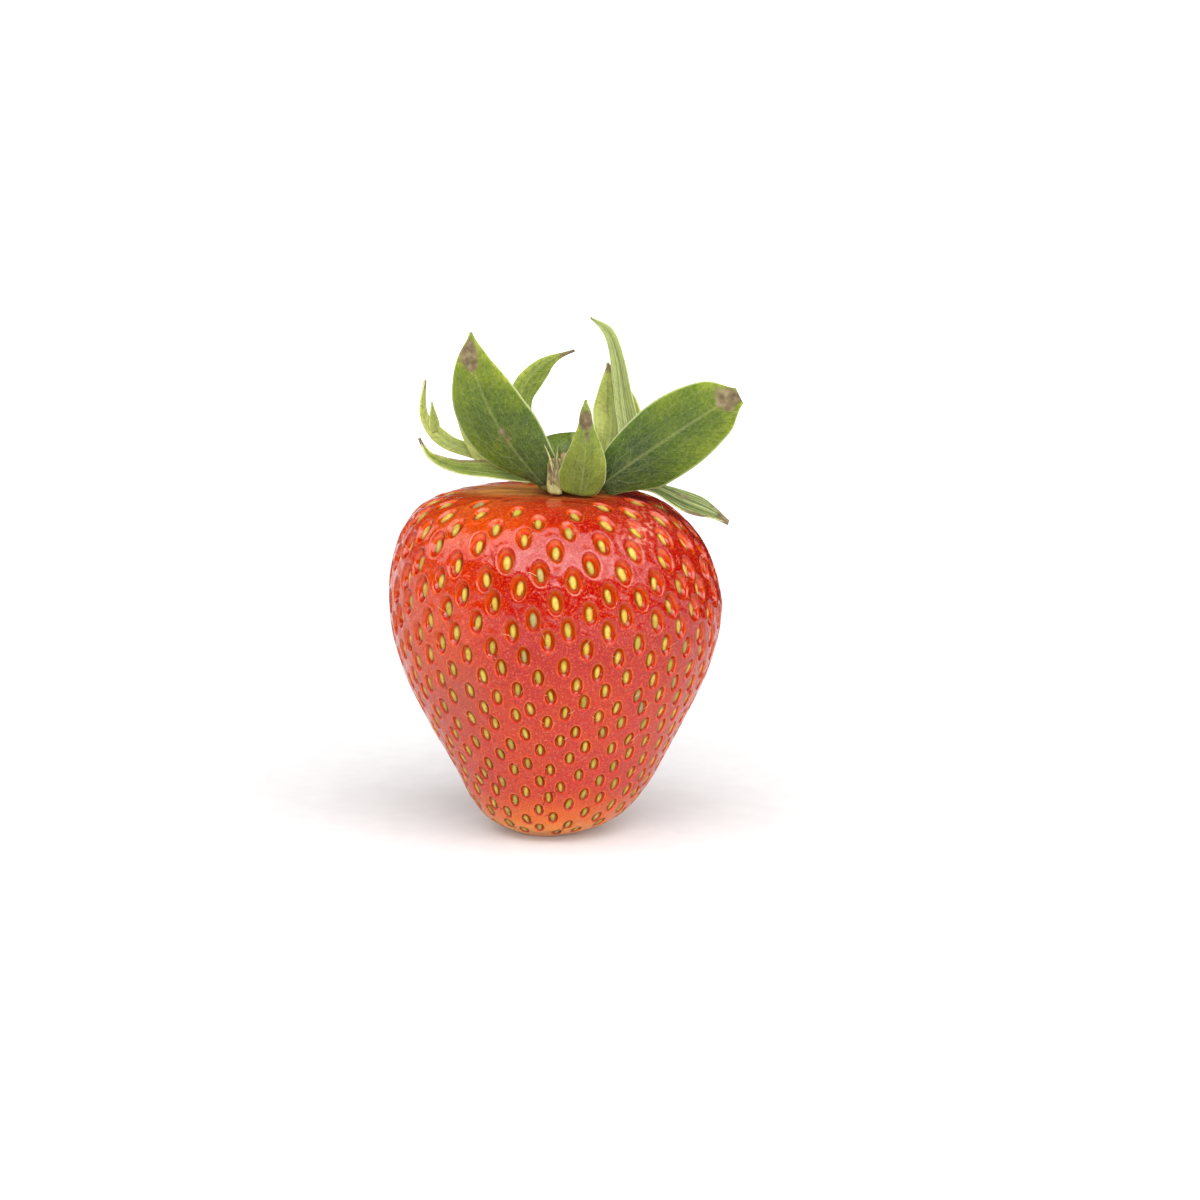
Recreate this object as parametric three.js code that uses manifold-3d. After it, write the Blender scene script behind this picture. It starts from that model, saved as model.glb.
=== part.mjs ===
// A fresh strawberry with its green calyx, resting on the blunt end of the fruit.
// Units are millimetres, +Z is up, +X is to the right and the viewer stands on the -Y side.
// The origin is the centre of the small flat spot that the fruit rests on.
import * as THREE from "three";
import { mergeVertices } from "three/addons/utils/BufferGeometryUtils.js";
import { ConvexHull } from "three/addons/math/ConvexHull.js";
import Module from "manifold-3d";

// ---------------------------------------------------------------- driving dimensions

// Fruit: radius and height along its side, from the rim of the flat spot up to the neck.
const FLAT_RADIUS = 4.0;
const SIDE_PROFILE = [
  [FLAT_RADIUS, 0], [7.8, 2.2], [11.4, 7.0], [15.1, 13.4], [18.2, 20.2], [19.5, 27.0],
  [18.3, 33.6], [15.2, 38.2], [11.0, 40.1], [6.0, 40.6], [0, 40.4],
];
// Sideways and rearward lean of the fruit's centre line, as [height, offset].
const LEAN_X = [[0, 0], [3, 0.6], [7, 1.0], [14, 0.9], [27, 0.9], [34, 0.3], [42, -1.0]];
const LEAN_Y = [[0, 0], [12, 0.3], [27, 0.2], [34, 0.5], [42, 1.3]];
const DEPTH_RATIO = 0.9; // front-to-back size over left-to-right size
const LOBE_TWO = 0.014; // two-fold swelling of the side, as a share of the radius
const LOBE_THREE = 0.018; // three-fold swelling of the side
const TOP_HEIGHT = 40.6;

// Seeds: mean area of skin that belongs to one seed, as [height, mm2].
const SEED_AREA = [[0, 5.2], [8, 6.2], [18, 7.3], [26, 9.2], [33, 11.0], [41, 13.0]];
const SEED_HALF_LENGTH = 0.85;
const SEED_HALF_WIDTH = 0.5;
const SEED_RIDGE_HALF = 0.4;
const SEED_PROUD = 0.1; // height of the seed's ridge over the skin
const PIT_DEPTH = 0.42;
const SEED_JITTER = 0.35;
const FIRST_SEED_RADIUS = 5.6; // no seed nearer to the middle of the flat spot
const NECK_RADIUS = 10.4; // bare ring of skin round the calyx
const GOLDEN_ANGLE = Math.PI * (3 - Math.sqrt(5));
const RANDOM_SEED = 20417;

// Calyx: a small hub on the fruit's neck, ringed by the roots of the sepals.
const HUB_CENTRE = [2.6, 1.6, 40.95];
const HUB_PROFILE = [[0, 0], [3.1, 0], [3.8, 0.5], [3.7, 1.1], [2.7, 1.5], [0, 1.6]];
const HUB_SIDES = 24;
const STUB_BASE = [2.6, 1.6, 42.85];
const STUB_RADIUS = 1.05;
const STUB_HEIGHT = 2.0;
const STUB_SIDES = 12;
const BLADE_THICKNESS = 0.7;
const BLADE_TIP_HALF = 0.3;

const SKIN_RED = 0xc8281c;
const HUB_GREEN = 0x8a9a45;
const STUB_GREEN = 0x9aa860;
const DARK_GREEN = 0x4c6a26;
const LIGHT_GREEN = 0x8ea243;
const GREY_GREEN = 0x6b7f4a;

// ---------------------------------------------------------------- small helpers

// Repeatable random numbers from 0 to 1.
function seededRandom(seed) {
  let state = seed;
  return () => {
    state = (state + 0x6d2b79f5) | 0;
    let mixed = Math.imul(state ^ (state >>> 15), 1 | state);
    mixed = (mixed + Math.imul(mixed ^ (mixed >>> 7), 61 | mixed)) ^ mixed;
    return ((mixed ^ (mixed >>> 14)) >>> 0) / 4294967296;
  };
}

// Straight-line interpolation in a list of [input, output] pairs.
function lookUp(pairs, input) {
  let step = 1;
  while (step < pairs.length - 1 && pairs[step][0] < input) step += 1;
  const [fromIn, fromOut] = pairs[step - 1];
  const [toIn, toOut] = pairs[step];
  const share = THREE.MathUtils.clamp((input - fromIn) / (toIn - fromIn), 0, 1);
  return fromOut + share * (toOut - fromOut);
}

function matt(colour, roughness) {
  return new THREE.MeshStandardMaterial({ color: colour, roughness, metalness: 0 });
}

function namedMesh(name, geometry, material) {
  const mesh = new THREE.Mesh(geometry, material);
  mesh.name = name;
  return mesh;
}

function indexedGeometry(points, triangles) {
  const geometry = new THREE.BufferGeometry().setFromPoints(points);
  geometry.setIndex(triangles);
  geometry.computeVertexNormals();
  return geometry;
}

// ---------------------------------------------------------------- skin of the fruit

// Rows of { arc, radius, height, latitude, seeds } from the flat spot to the top. The arc is
// the way along the skin, the latitude is the one that maps the skin onto a sphere without
// stretching angles, and seeds counts the seeds below the row.
function makeSkinRows() {
  const side = new THREE.SplineCurve(SIDE_PROFILE.map(([r, z]) => new THREE.Vector2(r, z)));
  const flatSteps = 20;
  const sideSteps = 600;
  const rows = [];
  for (let i = 1; i < flatSteps; i += 1) rows.push({ radius: (FLAT_RADIUS * i) / flatSteps, height: 0 });
  for (const point of side.getPoints(sideSteps)) rows.push({ radius: point.x, height: point.y });
  rows.pop();
  rows[0] = { ...rows[0], arc: rows[0].radius, latitude: 0, seeds: 0 };
  for (let i = 1; i < rows.length; i += 1) {
    const below = rows[i - 1];
    const row = rows[i];
    const length = Math.hypot(row.radius - below.radius, row.height - below.height);
    const radius = (row.radius + below.radius) / 2;
    const bearing = rowBearsSeeds(row);
    const band = Math.PI * (1 + DEPTH_RATIO) * radius * length;
    row.arc = below.arc + length;
    row.latitude = below.latitude + length / radius;
    row.seeds = below.seeds + (bearing ? band / lookUp(SEED_AREA, row.height) : 0);
  }
  const middle = rows.reduce((widest, row) => (row.radius > widest.radius ? row : widest));
  const shift = middle.latitude;
  for (const row of rows) row.latitude -= shift;
  return rows;
}

function rowBearsSeeds(row) {
  const high = row.height > TOP_HEIGHT / 2;
  return high ? row.radius > NECK_RADIUS : row.radius > FIRST_SEED_RADIUS;
}

const skinRows = makeSkinRows();

// The row, between two of the list, where the given value is reached.
function rowWhere(key, value) {
  let low = 0;
  let high = skinRows.length - 1;
  while (high - low > 1) {
    const half = (low + high) >> 1;
    if (skinRows[half][key] < value) low = half;
    else high = half;
  }
  const from = skinRows[low];
  const to = skinRows[high];
  const share = THREE.MathUtils.clamp((value - from[key]) / (to[key] - from[key]), 0, 1);
  const blend = (name) => from[name] + share * (to[name] - from[name]);
  return {
    arc: blend("arc"), radius: blend("radius"), height: blend("height"), latitude: blend("latitude"),
  };
}

// A point of the smooth skin.
function skinPoint(arc, turn) {
  const row = rowWhere("arc", arc);
  const belly = Math.sin(Math.PI * THREE.MathUtils.clamp(row.height / TOP_HEIGHT, 0, 1));
  const swell = 1 + belly * (LOBE_TWO * Math.sin(2 * turn) + LOBE_THREE * Math.sin(3 * turn));
  return new THREE.Vector3(
    lookUp(LEAN_X, row.height) + row.radius * swell * Math.cos(turn),
    lookUp(LEAN_Y, row.height) + row.radius * swell * DEPTH_RATIO * Math.sin(turn),
    row.height,
  );
}

// The same point moved out of the skin by lift; nothing leaves the flat spot.
function liftedPoint(arc, turn, lift) {
  const point = skinPoint(arc, turn);
  if (arc <= FLAT_RADIUS || lift === 0) return point;
  const step = 0.05;
  const up = skinPoint(arc + step, turn).sub(skinPoint(arc - step, turn));
  const round = skinPoint(arc, turn + step).sub(skinPoint(arc, turn - step));
  return point.addScaledVector(round.cross(up).normalize(), lift);
}

function spherePoint(latitude, turn) {
  const across = 1 / Math.cosh(latitude);
  return new THREE.Vector3(across * Math.cos(turn), across * Math.sin(turn), Math.tanh(latitude));
}

// ---------------------------------------------------------------- seeds and fruit

// Seed places in the spiral of a growing fruit, a golden angle apart.
function seedPlaces() {
  const random = seededRandom(RANDOM_SEED);
  const total = Math.floor(skinRows[skinRows.length - 1].seeds);
  const places = [];
  for (let i = 0; i < total; i += 1) {
    const row = rowWhere("seeds", i + 0.5);
    const along = (2 * random() - 1) * SEED_JITTER;
    const across = (2 * random() - 1) * SEED_JITTER;
    places.push({ arc: row.arc + along, turn: i * GOLDEN_ANGLE + across / row.radius });
  }
  return places;
}

// Points of one seed: two on its ridge and six round its foot at the floor of its pit.
function seedPoints({ arc, turn }) {
  const { radius } = rowWhere("arc", arc);
  const at = (along, across, lift) => ({ arc: arc + along, turn: turn + across / radius, lift });
  const points = [at(SEED_RIDGE_HALF, 0, SEED_PROUD), at(-SEED_RIDGE_HALF, 0, SEED_PROUD)];
  for (let corner = 0; corner < 6; corner += 1) {
    const angle = (corner * Math.PI) / 3;
    const along = SEED_HALF_LENGTH * Math.cos(angle);
    const across = SEED_HALF_WIDTH * Math.sin(angle);
    points.push(at(along, across, -PIT_DEPTH));
  }
  return points;
}

// Crests of the skin between the pits: each is as far from three seeds as it can be.
function crestPoints(places) {
  const onSphere = places.map(({ arc, turn }) => spherePoint(rowWhere("arc", arc).latitude, turn));
  const arcs = places.map(({ arc }) => arc);
  const lowest = Math.min(...arcs);
  const highest = Math.max(...arcs);
  const crests = [];
  for (const face of new ConvexHull().setFromPoints(onSphere).faces) {
    const row = rowWhere("latitude", Math.atanh(THREE.MathUtils.clamp(face.normal.z, -0.9999, 0.9999)));
    const turn = Math.atan2(face.normal.y, face.normal.x);
    if (row.arc > lowest && row.arc < highest) crests.push({ arc: row.arc, turn, lift: 0 });
  }
  return crests;
}

function ringPoints(row, count) {
  const points = [];
  for (let i = 0; i < count; i += 1) points.push({ arc: row.arc, turn: (2 * Math.PI * i) / count, lift: 0 });
  return points;
}

// Rings of bare skin: the rim of the flat spot, and the neck under the calyx.
function bareRings() {
  const topArc = skinRows[skinRows.length - 1].arc;
  const rings = ringPoints({ arc: FLAT_RADIUS }, 20);
  for (const [radius, count] of [[8.6, 18], [5.6, 12], [2.6, 6]]) {
    rings.push(...ringPoints({ arc: topArc - radius }, count));
  }
  return rings;
}

// The fruit is one body: its points are joined into triangles on a sphere, then moved to the skin.
function makeFruit() {
  const places = seedPlaces();
  const points = [...places.flatMap(seedPoints), ...crestPoints(places), ...bareRings()];
  const onSphere = points.map(({ arc, turn }) => spherePoint(rowWhere("arc", arc).latitude, turn));
  const inPlace = points.map(({ arc, turn, lift }) => liftedPoint(arc, turn, lift));
  onSphere.push(new THREE.Vector3(0, 0, -1), new THREE.Vector3(0, 0, 1));
  inPlace.push(new THREE.Vector3(0, 0, 0), skinPoint(skinRows[skinRows.length - 1].arc, 0));
  const order = new Map(onSphere.map((point, index) => [point, index]));
  const triangles = [];
  for (const face of new ConvexHull().setFromPoints(onSphere).faces) {
    const { edge } = face;
    triangles.push(order.get(edge.tail().point), order.get(edge.head().point));
    triangles.push(order.get(edge.next.head().point));
  }
  return indexedGeometry(inPlace, triangles);
}

// ---------------------------------------------------------------- hub and stem stub

function turned(profile, sides) {
  const shape = new THREE.LatheGeometry(profile.map(([r, z]) => new THREE.Vector2(r, z)), sides);
  return shape.rotateX(Math.PI / 2);
}

// ---------------------------------------------------------------- sepals

// A thin closed blade. The spine runs from root to tip, halves are its half widths at equal
// steps of the spine, face is the way that its upper side looks at the root and at the tip,
// and cup lifts its edges towards that side, as a share of the half width.
function makeBlade({ spine, halves, face, cup, rows = 10, columns = 4 }) {
  const curve = new THREE.CatmullRomCurve3(spine.map((at) => new THREE.Vector3(...at)));
  const widths = new THREE.SplineCurve(halves.map((half, i) => new THREE.Vector2(i, half)));
  const [rootFace, tipFace] = face.map((way) => new THREE.Vector3(...way).normalize());
  const points = [];
  for (const side of [0.5, -0.5]) {
    for (let i = 0; i <= rows; i += 1) {
      const share = i / rows;
      const middle = curve.getPointAt(share);
      const tangent = curve.getTangentAt(share);
      const across = tangent.clone().cross(rootFace.clone().lerp(tipFace, share)).normalize();
      const upper = across.clone().cross(tangent).normalize();
      const half = Math.max(widths.getPoint(share).y, BLADE_TIP_HALF);
      for (let j = 0; j <= columns; j += 1) {
        const off = (2 * j) / columns - 1;
        const lift = cup * half * off * off + side * BLADE_THICKNESS;
        points.push(middle.clone().addScaledVector(across, off * half).addScaledVector(upper, lift));
      }
    }
  }
  return indexedGeometry(points, bladeTriangles(rows, columns));
}

// Both faces are split alike, and the rim is closed by a band.
function bladeTriangles(rows, columns) {
  const wide = columns + 1;
  const lower = (rows + 1) * wide;
  const triangles = [];
  for (let i = 0; i < rows; i += 1) {
    for (let j = 0; j < columns; j += 1) {
      const a = i * wide + j;
      const b = a + 1;
      const c = a + wide;
      const d = c + 1;
      triangles.push(a, b, d, a, d, c);
      triangles.push(lower + a, lower + d, lower + b, lower + a, lower + c, lower + d);
    }
  }
  const rim = [];
  for (let j = 0; j < columns; j += 1) rim.push(j);
  for (let i = 0; i < rows; i += 1) rim.push(i * wide + columns);
  for (let j = columns; j > 0; j -= 1) rim.push(rows * wide + j);
  for (let i = rows; i > 0; i -= 1) rim.push(i * wide);
  rim.forEach((from, k) => {
    const to = rim[(k + 1) % rim.length];
    triangles.push(from, lower + from, lower + to, from, lower + to, to);
  });
  return triangles;
}

const SEPALS = {
  // Two large sepals stand up at the front, one leaning left and one leaning right.
  sepal_front_left: {
    spine: [[-1.5, -1.6, 42.3], [-4.2, -3.2, 46.5], [-6.6, -4.8, 51.2], [-8.3, -6.0, 56.1], [-8.7, -6.2, 60.4]],
    halves: [1.7, 3.3, 4.2, 4.1, 3.3, 1.9, 0], face: [[-0.3, -1, -0.1], [-0.1, -1, 0]],
    cup: -0.12, rows: 12, columns: 6, colour: DARK_GREEN,
  },
  sepal_front_right: {
    spine: [[6.9, -1.8, 42.5], [10.4, -3.7, 45.3], [14.6, -5.8, 48.5], [18.8, -7.6, 51.6], [22.0, -8.4, 53.4]],
    halves: [1.3, 3.1, 4.4, 4.6, 4.2, 2.8, 0], face: [[0.1, -1, 0.1], [0.1, -1, 0.2]],
    cup: -0.12, rows: 12, columns: 6, colour: DARK_GREEN,
  },
  sepal_front_small: {
    spine: [[3.9, -3.8, 41.7], [4.3, -5.3, 45.1], [4.5, -6.5, 48.8], [4.5, -7.0, 52.7]],
    halves: [2.0, 2.7, 2.6, 2.0, 1.3, 0.8, 0], face: [[0, -1, 0.3], [0, -1, 0]],
    cup: -0.25, colour: LIGHT_GREEN,
  },
  bract_front_torn: {
    spine: [[0.8, -2.6, 41.7], [0.8, -2.9, 43.8], [0.8, -3.3, 46.3]],
    halves: [0.6, 0.8, 0.75, 0.6], face: [[-0.3, -1, 0.3], [-0.2, -1, 0]],
    cup: -0.1, rows: 6, colour: LIGHT_GREEN,
  },
  bract_left_low: {
    spine: [[-2.4, 1.1, 42.2], [-6.9, -0.6, 43.1], [-10.7, -1.6, 43.8], [-13.6, -1.9, 45.2], [-14.9, -1.8, 47.4]],
    halves: [1.0, 1.1, 1.1, 0.9, 0.6, 0], face: [[0, -0.75, 0.65], [0.4, -0.9, 0.4]],
    cup: 0.2, colour: LIGHT_GREEN,
  },
  sepal_left_forked: {
    spine: [[-2.4, 2.6, 42.6], [-7.5, 2.7, 44.6], [-12.0, 3.0, 46.4], [-14.3, 3.0, 49.4], [-14.0, 2.8, 53.7]],
    halves: [1.0, 1.0, 0.9, 1.1, 1.2, 0.8, 0], face: [[0.2, -0.9, 0.4], [0.5, -1, 0.1]],
    cup: 0.1, colour: LIGHT_GREEN,
  },
  sepal_back_left: {
    spine: [[-0.7, 5.2, 42.8], [-2.9, 7.1, 47.5], [-3.2, 8.0, 51.2], [-0.6, 8.6, 54.6], [3.1, 9.0, 56.1]],
    halves: [1.2, 1.6, 1.6, 1.5, 1.3, 0.6, 0], face: [[0, -1, 0.2], [0.2, -1, 0.2]],
    cup: -0.15, colour: DARK_GREEN,
  },
  // A broad sepal at the back curls over and hangs rearward.
  sepal_back_arch: {
    spine: [[2.9, 6.6, 42.2], [2.9, 7.1, 44.6], [2.9, 9.0, 46.0], [2.9, 11.2, 45.4], [2.9, 12.8, 43.2]],
    halves: [1.6, 3.0, 3.8, 3.6, 2.6, 0], face: [[0, 1, 0], [0, -0.4, -1]],
    cup: 0.2, colour: DARK_GREEN,
  },
  sepal_back_broad: {
    spine: [[6.2, 5.5, 42.4], [8.0, 6.4, 45.8], [8.0, 7.3, 50.0], [7.0, 7.0, 54.9]],
    halves: [1.3, 2.3, 2.8, 2.8, 2.1, 1.2, 0], face: [[0.1, -1, 0.1], [0, -1, 0]],
    cup: 0.15, colour: LIGHT_GREEN,
  },
  bract_back_tall: {
    spine: [[7.3, 3.7, 42.4], [9.3, 4.9, 46.2], [8.9, 5.7, 50.5], [8.1, 5.9, 55.6], [7.0, 5.7, 58.7], [5.0, 5.4, 60.5]],
    halves: [1.0, 1.2, 1.1, 1.0, 0.9, 0.7, 0], face: [[0.1, -1, 0.1], [0, -1, 0.2]],
    cup: 0.1, colour: GREY_GREEN,
  },
  bract_right_low: {
    spine: [[7.7, -0.2, 41.8], [12.0, -0.2, 41.3], [15.7, -1.4, 39.8], [19.0, -2.2, 38.6], [21.0, -2.2, 37.4]],
    halves: [0.9, 1.2, 1.4, 1.5, 1.4, 0.9, 0], face: [[0.1, -0.5, 0.9], [0.3, -0.6, 0.7]],
    cup: 0.1, colour: GREY_GREEN,
  },
  sepal_back_right: {
    spine: [[7.6, 1.8, 41.6], [10.8, 2.8, 42.3], [13.4, 4.4, 43.0], [15.6, 6.2, 42.8]],
    halves: [0.7, 1.3, 2.0, 1.6, 0], face: [[0, 0.1, 1], [0.2, 0.2, 1]],
    cup: 0.15, colour: DARK_GREEN,
  },
};

// The forked sepal has a short second point beside its tip.
const FORK = {
  spine: [[-13.9, 3.0, 47.4], [-13.5, 3.0, 49.2], [-13.6, 2.9, 51.2]],
  halves: [0.7, 0.5, 0], face: [[0.5, -1, 0.1], [0.5, -1, 0.1]], cup: 0, rows: 4, columns: 2,
};

// ---------------------------------------------------------------- joining

const wasm = await Module();
wasm.setup();

function toSolid(geometry) {
  const bare = geometry.clone();
  bare.deleteAttribute("normal");
  bare.deleteAttribute("uv");
  const merged = mergeVertices(bare, 1e-3);
  const mesh = new wasm.Mesh({
    numProp: 3,
    vertProperties: merged.attributes.position.array,
    triVerts: new Uint32Array(merged.index.array),
  });
  return new wasm.Manifold(mesh);
}

function fused(first, second) {
  const { vertProperties, triVerts } = toSolid(first).add(toSolid(second)).getMesh();
  const geometry = new THREE.BufferGeometry();
  geometry.setAttribute("position", new THREE.BufferAttribute(vertProperties, 3));
  geometry.setIndex(new THREE.BufferAttribute(triVerts, 1));
  geometry.computeVertexNormals();
  return geometry;
}

// ---------------------------------------------------------------- assembly

const calyx = new THREE.Group();
const hub = namedMesh("calyx_hub", turned(HUB_PROFILE, HUB_SIDES), matt(HUB_GREEN, 0.7));
hub.position.set(...HUB_CENTRE);
calyx.add(hub);

const stubProfile = [[0, 0], [STUB_RADIUS, 0], [STUB_RADIUS * 0.9, STUB_HEIGHT], [0, STUB_HEIGHT]];
const stub = namedMesh("stem_stub", turned(stubProfile, STUB_SIDES), matt(STUB_GREEN, 0.7));
stub.position.set(...STUB_BASE);
calyx.add(stub);

for (const [name, sepal] of Object.entries(SEPALS)) {
  const blade = makeBlade(sepal);
  const whole = name === "sepal_left_forked" ? fused(blade, makeBlade(FORK)) : blade;
  calyx.add(namedMesh(name, whole, matt(sepal.colour, 0.6)));
}

const strawberry = new THREE.Group();
strawberry.add(namedMesh("berry", makeFruit(), matt(SKIN_RED, 0.35)));
strawberry.add(calyx);

export default strawberry;
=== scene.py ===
# %% [markdown]
# # A fresh strawberry, dressed around its solid model
# The solid model gives the size, the place and the rough form of every piece. This lesson
# builds the fine surfaces over it: a dimpled skin, several hundred seeds, thin sepals with
# veins and dry tips, and the light of a white studio table. Shapes are worked out in
# millimetres and turned into metres, which is what Blender and the solid model use.

# %% Load the solid model
import math
import bpy
import numpy as np
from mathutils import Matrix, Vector


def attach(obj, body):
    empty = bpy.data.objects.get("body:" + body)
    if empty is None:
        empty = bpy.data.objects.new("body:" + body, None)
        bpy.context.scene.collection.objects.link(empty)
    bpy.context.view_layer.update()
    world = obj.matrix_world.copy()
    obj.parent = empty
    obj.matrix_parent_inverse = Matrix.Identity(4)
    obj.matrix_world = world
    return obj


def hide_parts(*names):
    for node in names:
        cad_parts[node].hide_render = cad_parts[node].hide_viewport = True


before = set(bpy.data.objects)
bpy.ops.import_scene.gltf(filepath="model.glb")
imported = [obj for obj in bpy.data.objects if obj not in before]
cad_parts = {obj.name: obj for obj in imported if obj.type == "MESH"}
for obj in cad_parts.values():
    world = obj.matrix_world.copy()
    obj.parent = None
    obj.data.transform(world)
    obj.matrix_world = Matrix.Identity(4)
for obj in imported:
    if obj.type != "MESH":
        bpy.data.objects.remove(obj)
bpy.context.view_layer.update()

MM = 0.001

# %% [markdown]
# ## The camera
# A portrait of a small fruit is taken from a little above the table with a long lens, so
# that near and far parts keep the same scale. The camera looks 12 degrees down from 45 cm.
# It aims right of the fruit's middle, because the fruit sits left of the picture's centre.

# %% Camera
CAMERA_PITCH = math.radians(12.0)
CAMERA_DISTANCE = 0.450
CAMERA_AIM = Vector((6.1, 0.0, 27.8)) * MM
CAMERA_LENS_MM = 114.75
SENSOR_WIDTH_MM = 36.0
NEAREST_SEEN = 0.01

camera_data = bpy.data.cameras.new("table_camera")
camera_data.lens = CAMERA_LENS_MM
camera_data.sensor_width = SENSOR_WIDTH_MM
camera_data.clip_start = NEAREST_SEEN
camera = bpy.data.objects.new("table_camera", camera_data)
bpy.context.scene.collection.objects.link(camera)
back_and_up = Vector((0, -math.cos(CAMERA_PITCH), math.sin(CAMERA_PITCH)))
camera.location = CAMERA_AIM + CAMERA_DISTANCE * back_and_up
camera.rotation_euler = (math.pi / 2 - CAMERA_PITCH, 0, 0)
bpy.context.scene.camera = camera
print("camera stands at", [round(c, 3) for c in camera.location])


# %% [markdown]
# ## Small tools for making a mesh from arrays
# Blender takes a mesh as lists of points and faces. NumPy works out thousands of points at
# once, which is far quicker than a loop, and a named attribute carries a number for every
# point, such as how near a seed is, which a material can read later.

# %% Mesh and object helpers
def add_piece(name, points, faces):
    """A mesh object from an array of points in metres and a list of faces."""
    mesh = bpy.data.meshes.new(name)
    mesh.from_pydata(np.asarray(points, float).tolist(), [], [tuple(map(int, f)) for f in faces])
    mesh.validate()
    mesh.polygons.foreach_set("use_smooth", [True] * len(mesh.polygons))
    piece = bpy.data.objects.new(name, mesh)
    bpy.context.scene.collection.objects.link(piece)
    return piece


def add_values(piece, name, values):
    """One number for every point of the piece."""
    layer = piece.data.attributes.new(name, "FLOAT", "POINT")
    layer.data.foreach_set("value", np.asarray(values, np.float32))


def smooth_step(low, high, value):
    """0 below low, 1 above high, and an even S between them."""
    share = np.clip((np.asarray(value, float) - low) / (high - low), 0, 1)
    return share * share * (3 - 2 * share)


def unit(vectors):
    return vectors / np.linalg.norm(vectors, axis=-1, keepdims=True)


def ring_faces(rings, turns, climbing=False):
    """Squares that join rings of points; climbing when each ring lies above the last."""
    faces = []
    for i in range(rings):
        for j in range(turns):
            here, beside = i * turns + j, i * turns + (j + 1) % turns
            if climbing:
                faces.append((here, beside, beside + turns, here + turns))
            else:
                faces.append((here, here + turns, beside + turns, beside))
    return faces


print("mesh helpers ready")


# %% [markdown]
# ## The form of the fruit
# A strawberry is almost a turned shape: one side profile carried round an axis. Real ones
# lean and are a little flattened and lobed, so the profile gets a leaning centre line, a
# depth ratio and two soft swellings. The numbers are those of the solid model. One small
# swelling more makes the tip blunter.

# %% Side profile
FLAT_RADIUS = 4.0
SIDE_PROFILE = [
    (FLAT_RADIUS, 0), (7.8, 2.2), (11.4, 7.0), (15.1, 13.4), (18.2, 20.2), (19.5, 27.0),
    (18.3, 33.6), (15.2, 38.2), (11.0, 40.1), (6.0, 40.6), (0, 40.4),
]
LEAN_X = [(0, 0), (3, 0.6), (7, 1.0), (14, 0.9), (27, 0.9), (34, 0.3), (42, -1.0)]
LEAN_Y = [(0, 0), (12, 0.3), (27, 0.2), (34, 0.5), (42, 1.3)]
DEPTH_RATIO = 0.9
LOBE_TWO = 0.014
LOBE_THREE = 0.018
TIP_SWELL = 0.5  # makes the tip blunter, most at TIP_SWELL_HEIGHT
TIP_SWELL_HEIGHT = 3.6
TIP_SWELL_REACH = 4.0
TOP_HEIGHT = 40.6
FLAT_STEPS = 20
SIDE_STEPS = 600


def through(points, shares):
    """Points of a smooth curve through the given points, at shares from 0 to 1 of its steps."""
    points = np.asarray(points, float)
    last = len(points) - 1
    place = np.asarray(shares, float) * last
    first = np.minimum(place.astype(int), last - 1)
    t = (place - first)[:, None]
    before = points[np.maximum(first - 1, 0)]
    start, end = points[first], points[first + 1]
    after = points[np.minimum(first + 2, last)]
    leave, arrive = (end - before) / 2, (after - start) / 2
    cubic = 2 * start - 2 * end + leave + arrive
    square = -3 * start + 3 * end - 2 * leave - arrive
    return ((cubic * t + square) * t + leave) * t + start


def look_up(pairs, value):
    inputs, outputs = np.array(pairs, float).T
    return np.interp(value, inputs, outputs)


flat_part = np.array([(FLAT_RADIUS * i / FLAT_STEPS, 0) for i in range(1, FLAT_STEPS)])
side_part = through(SIDE_PROFILE, np.linspace(0, 1, SIDE_STEPS + 1))[:-1]
radius_rows, height_rows = np.vstack([flat_part, side_part]).T
steps = np.hypot(np.diff(radius_rows), np.diff(height_rows))
arc_rows = radius_rows[0] + np.concatenate([[0], np.cumsum(steps)])
mid_radius = (radius_rows[1:] + radius_rows[:-1]) / 2
latitude_rows = np.concatenate([[0], np.cumsum(steps / mid_radius)])
latitude_rows -= latitude_rows[np.argmax(radius_rows)]
print("length of the side profile:", round(arc_rows[-1], 1), "mm")


# %% [markdown]
# Every place on the skin is named by two numbers: the way along the profile, called arc,
# and the turn round the axis. One function gives the point and a second the direction that
# leaves the skin there, found from two short steps along the surface.

# %% Skin points
def skin_point(arc, turn):
    """Points in millimetres at these ways along the profile and turns round the axis."""
    radius = np.interp(arc, arc_rows, radius_rows)
    height = np.interp(arc, arc_rows, height_rows)
    blunting = TIP_SWELL * np.exp(-(((height - TIP_SWELL_HEIGHT) / TIP_SWELL_REACH) ** 2))
    radius = radius + blunting * (radius / FLAT_RADIUS).clip(0, 1)
    belly = np.sin(np.pi * np.clip(height / TOP_HEIGHT, 0, 1))
    swell = radius * (1 + belly * (LOBE_TWO * np.sin(2 * turn) + LOBE_THREE * np.sin(3 * turn)))
    x = look_up(LEAN_X, height) + swell * np.cos(turn)
    y = look_up(LEAN_Y, height) + swell * DEPTH_RATIO * np.sin(turn)
    return np.stack([x, y, height], axis=-1)


def skin_axes(arc, turn, step=0.05):
    """Unit vectors up the skin, round it, and out of it, from points a step away."""
    up = unit(skin_point(arc + step, turn) - skin_point(arc - step, turn))
    outward = unit(np.cross(skin_point(arc, turn + step) - skin_point(arc, turn - step), up))
    return up, np.cross(up, outward), outward


right_side = skin_point(arc_rows, np.zeros(len(arc_rows)))
print("widest point on the right:", right_side[right_side[:, 0].argmax()].round(1))

# %% [markdown]
# ## Where the seeds sit
# Seeds form in a spiral, each one a golden angle (137.5 degrees) on from the last, which
# packs them evenly with no rows that line up. They crowd near the tip and spread out near
# the shoulder, so a table of skin area per seed sets how fast the spiral climbs. A small
# seeded random step keeps the pattern from looking printed.

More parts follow.
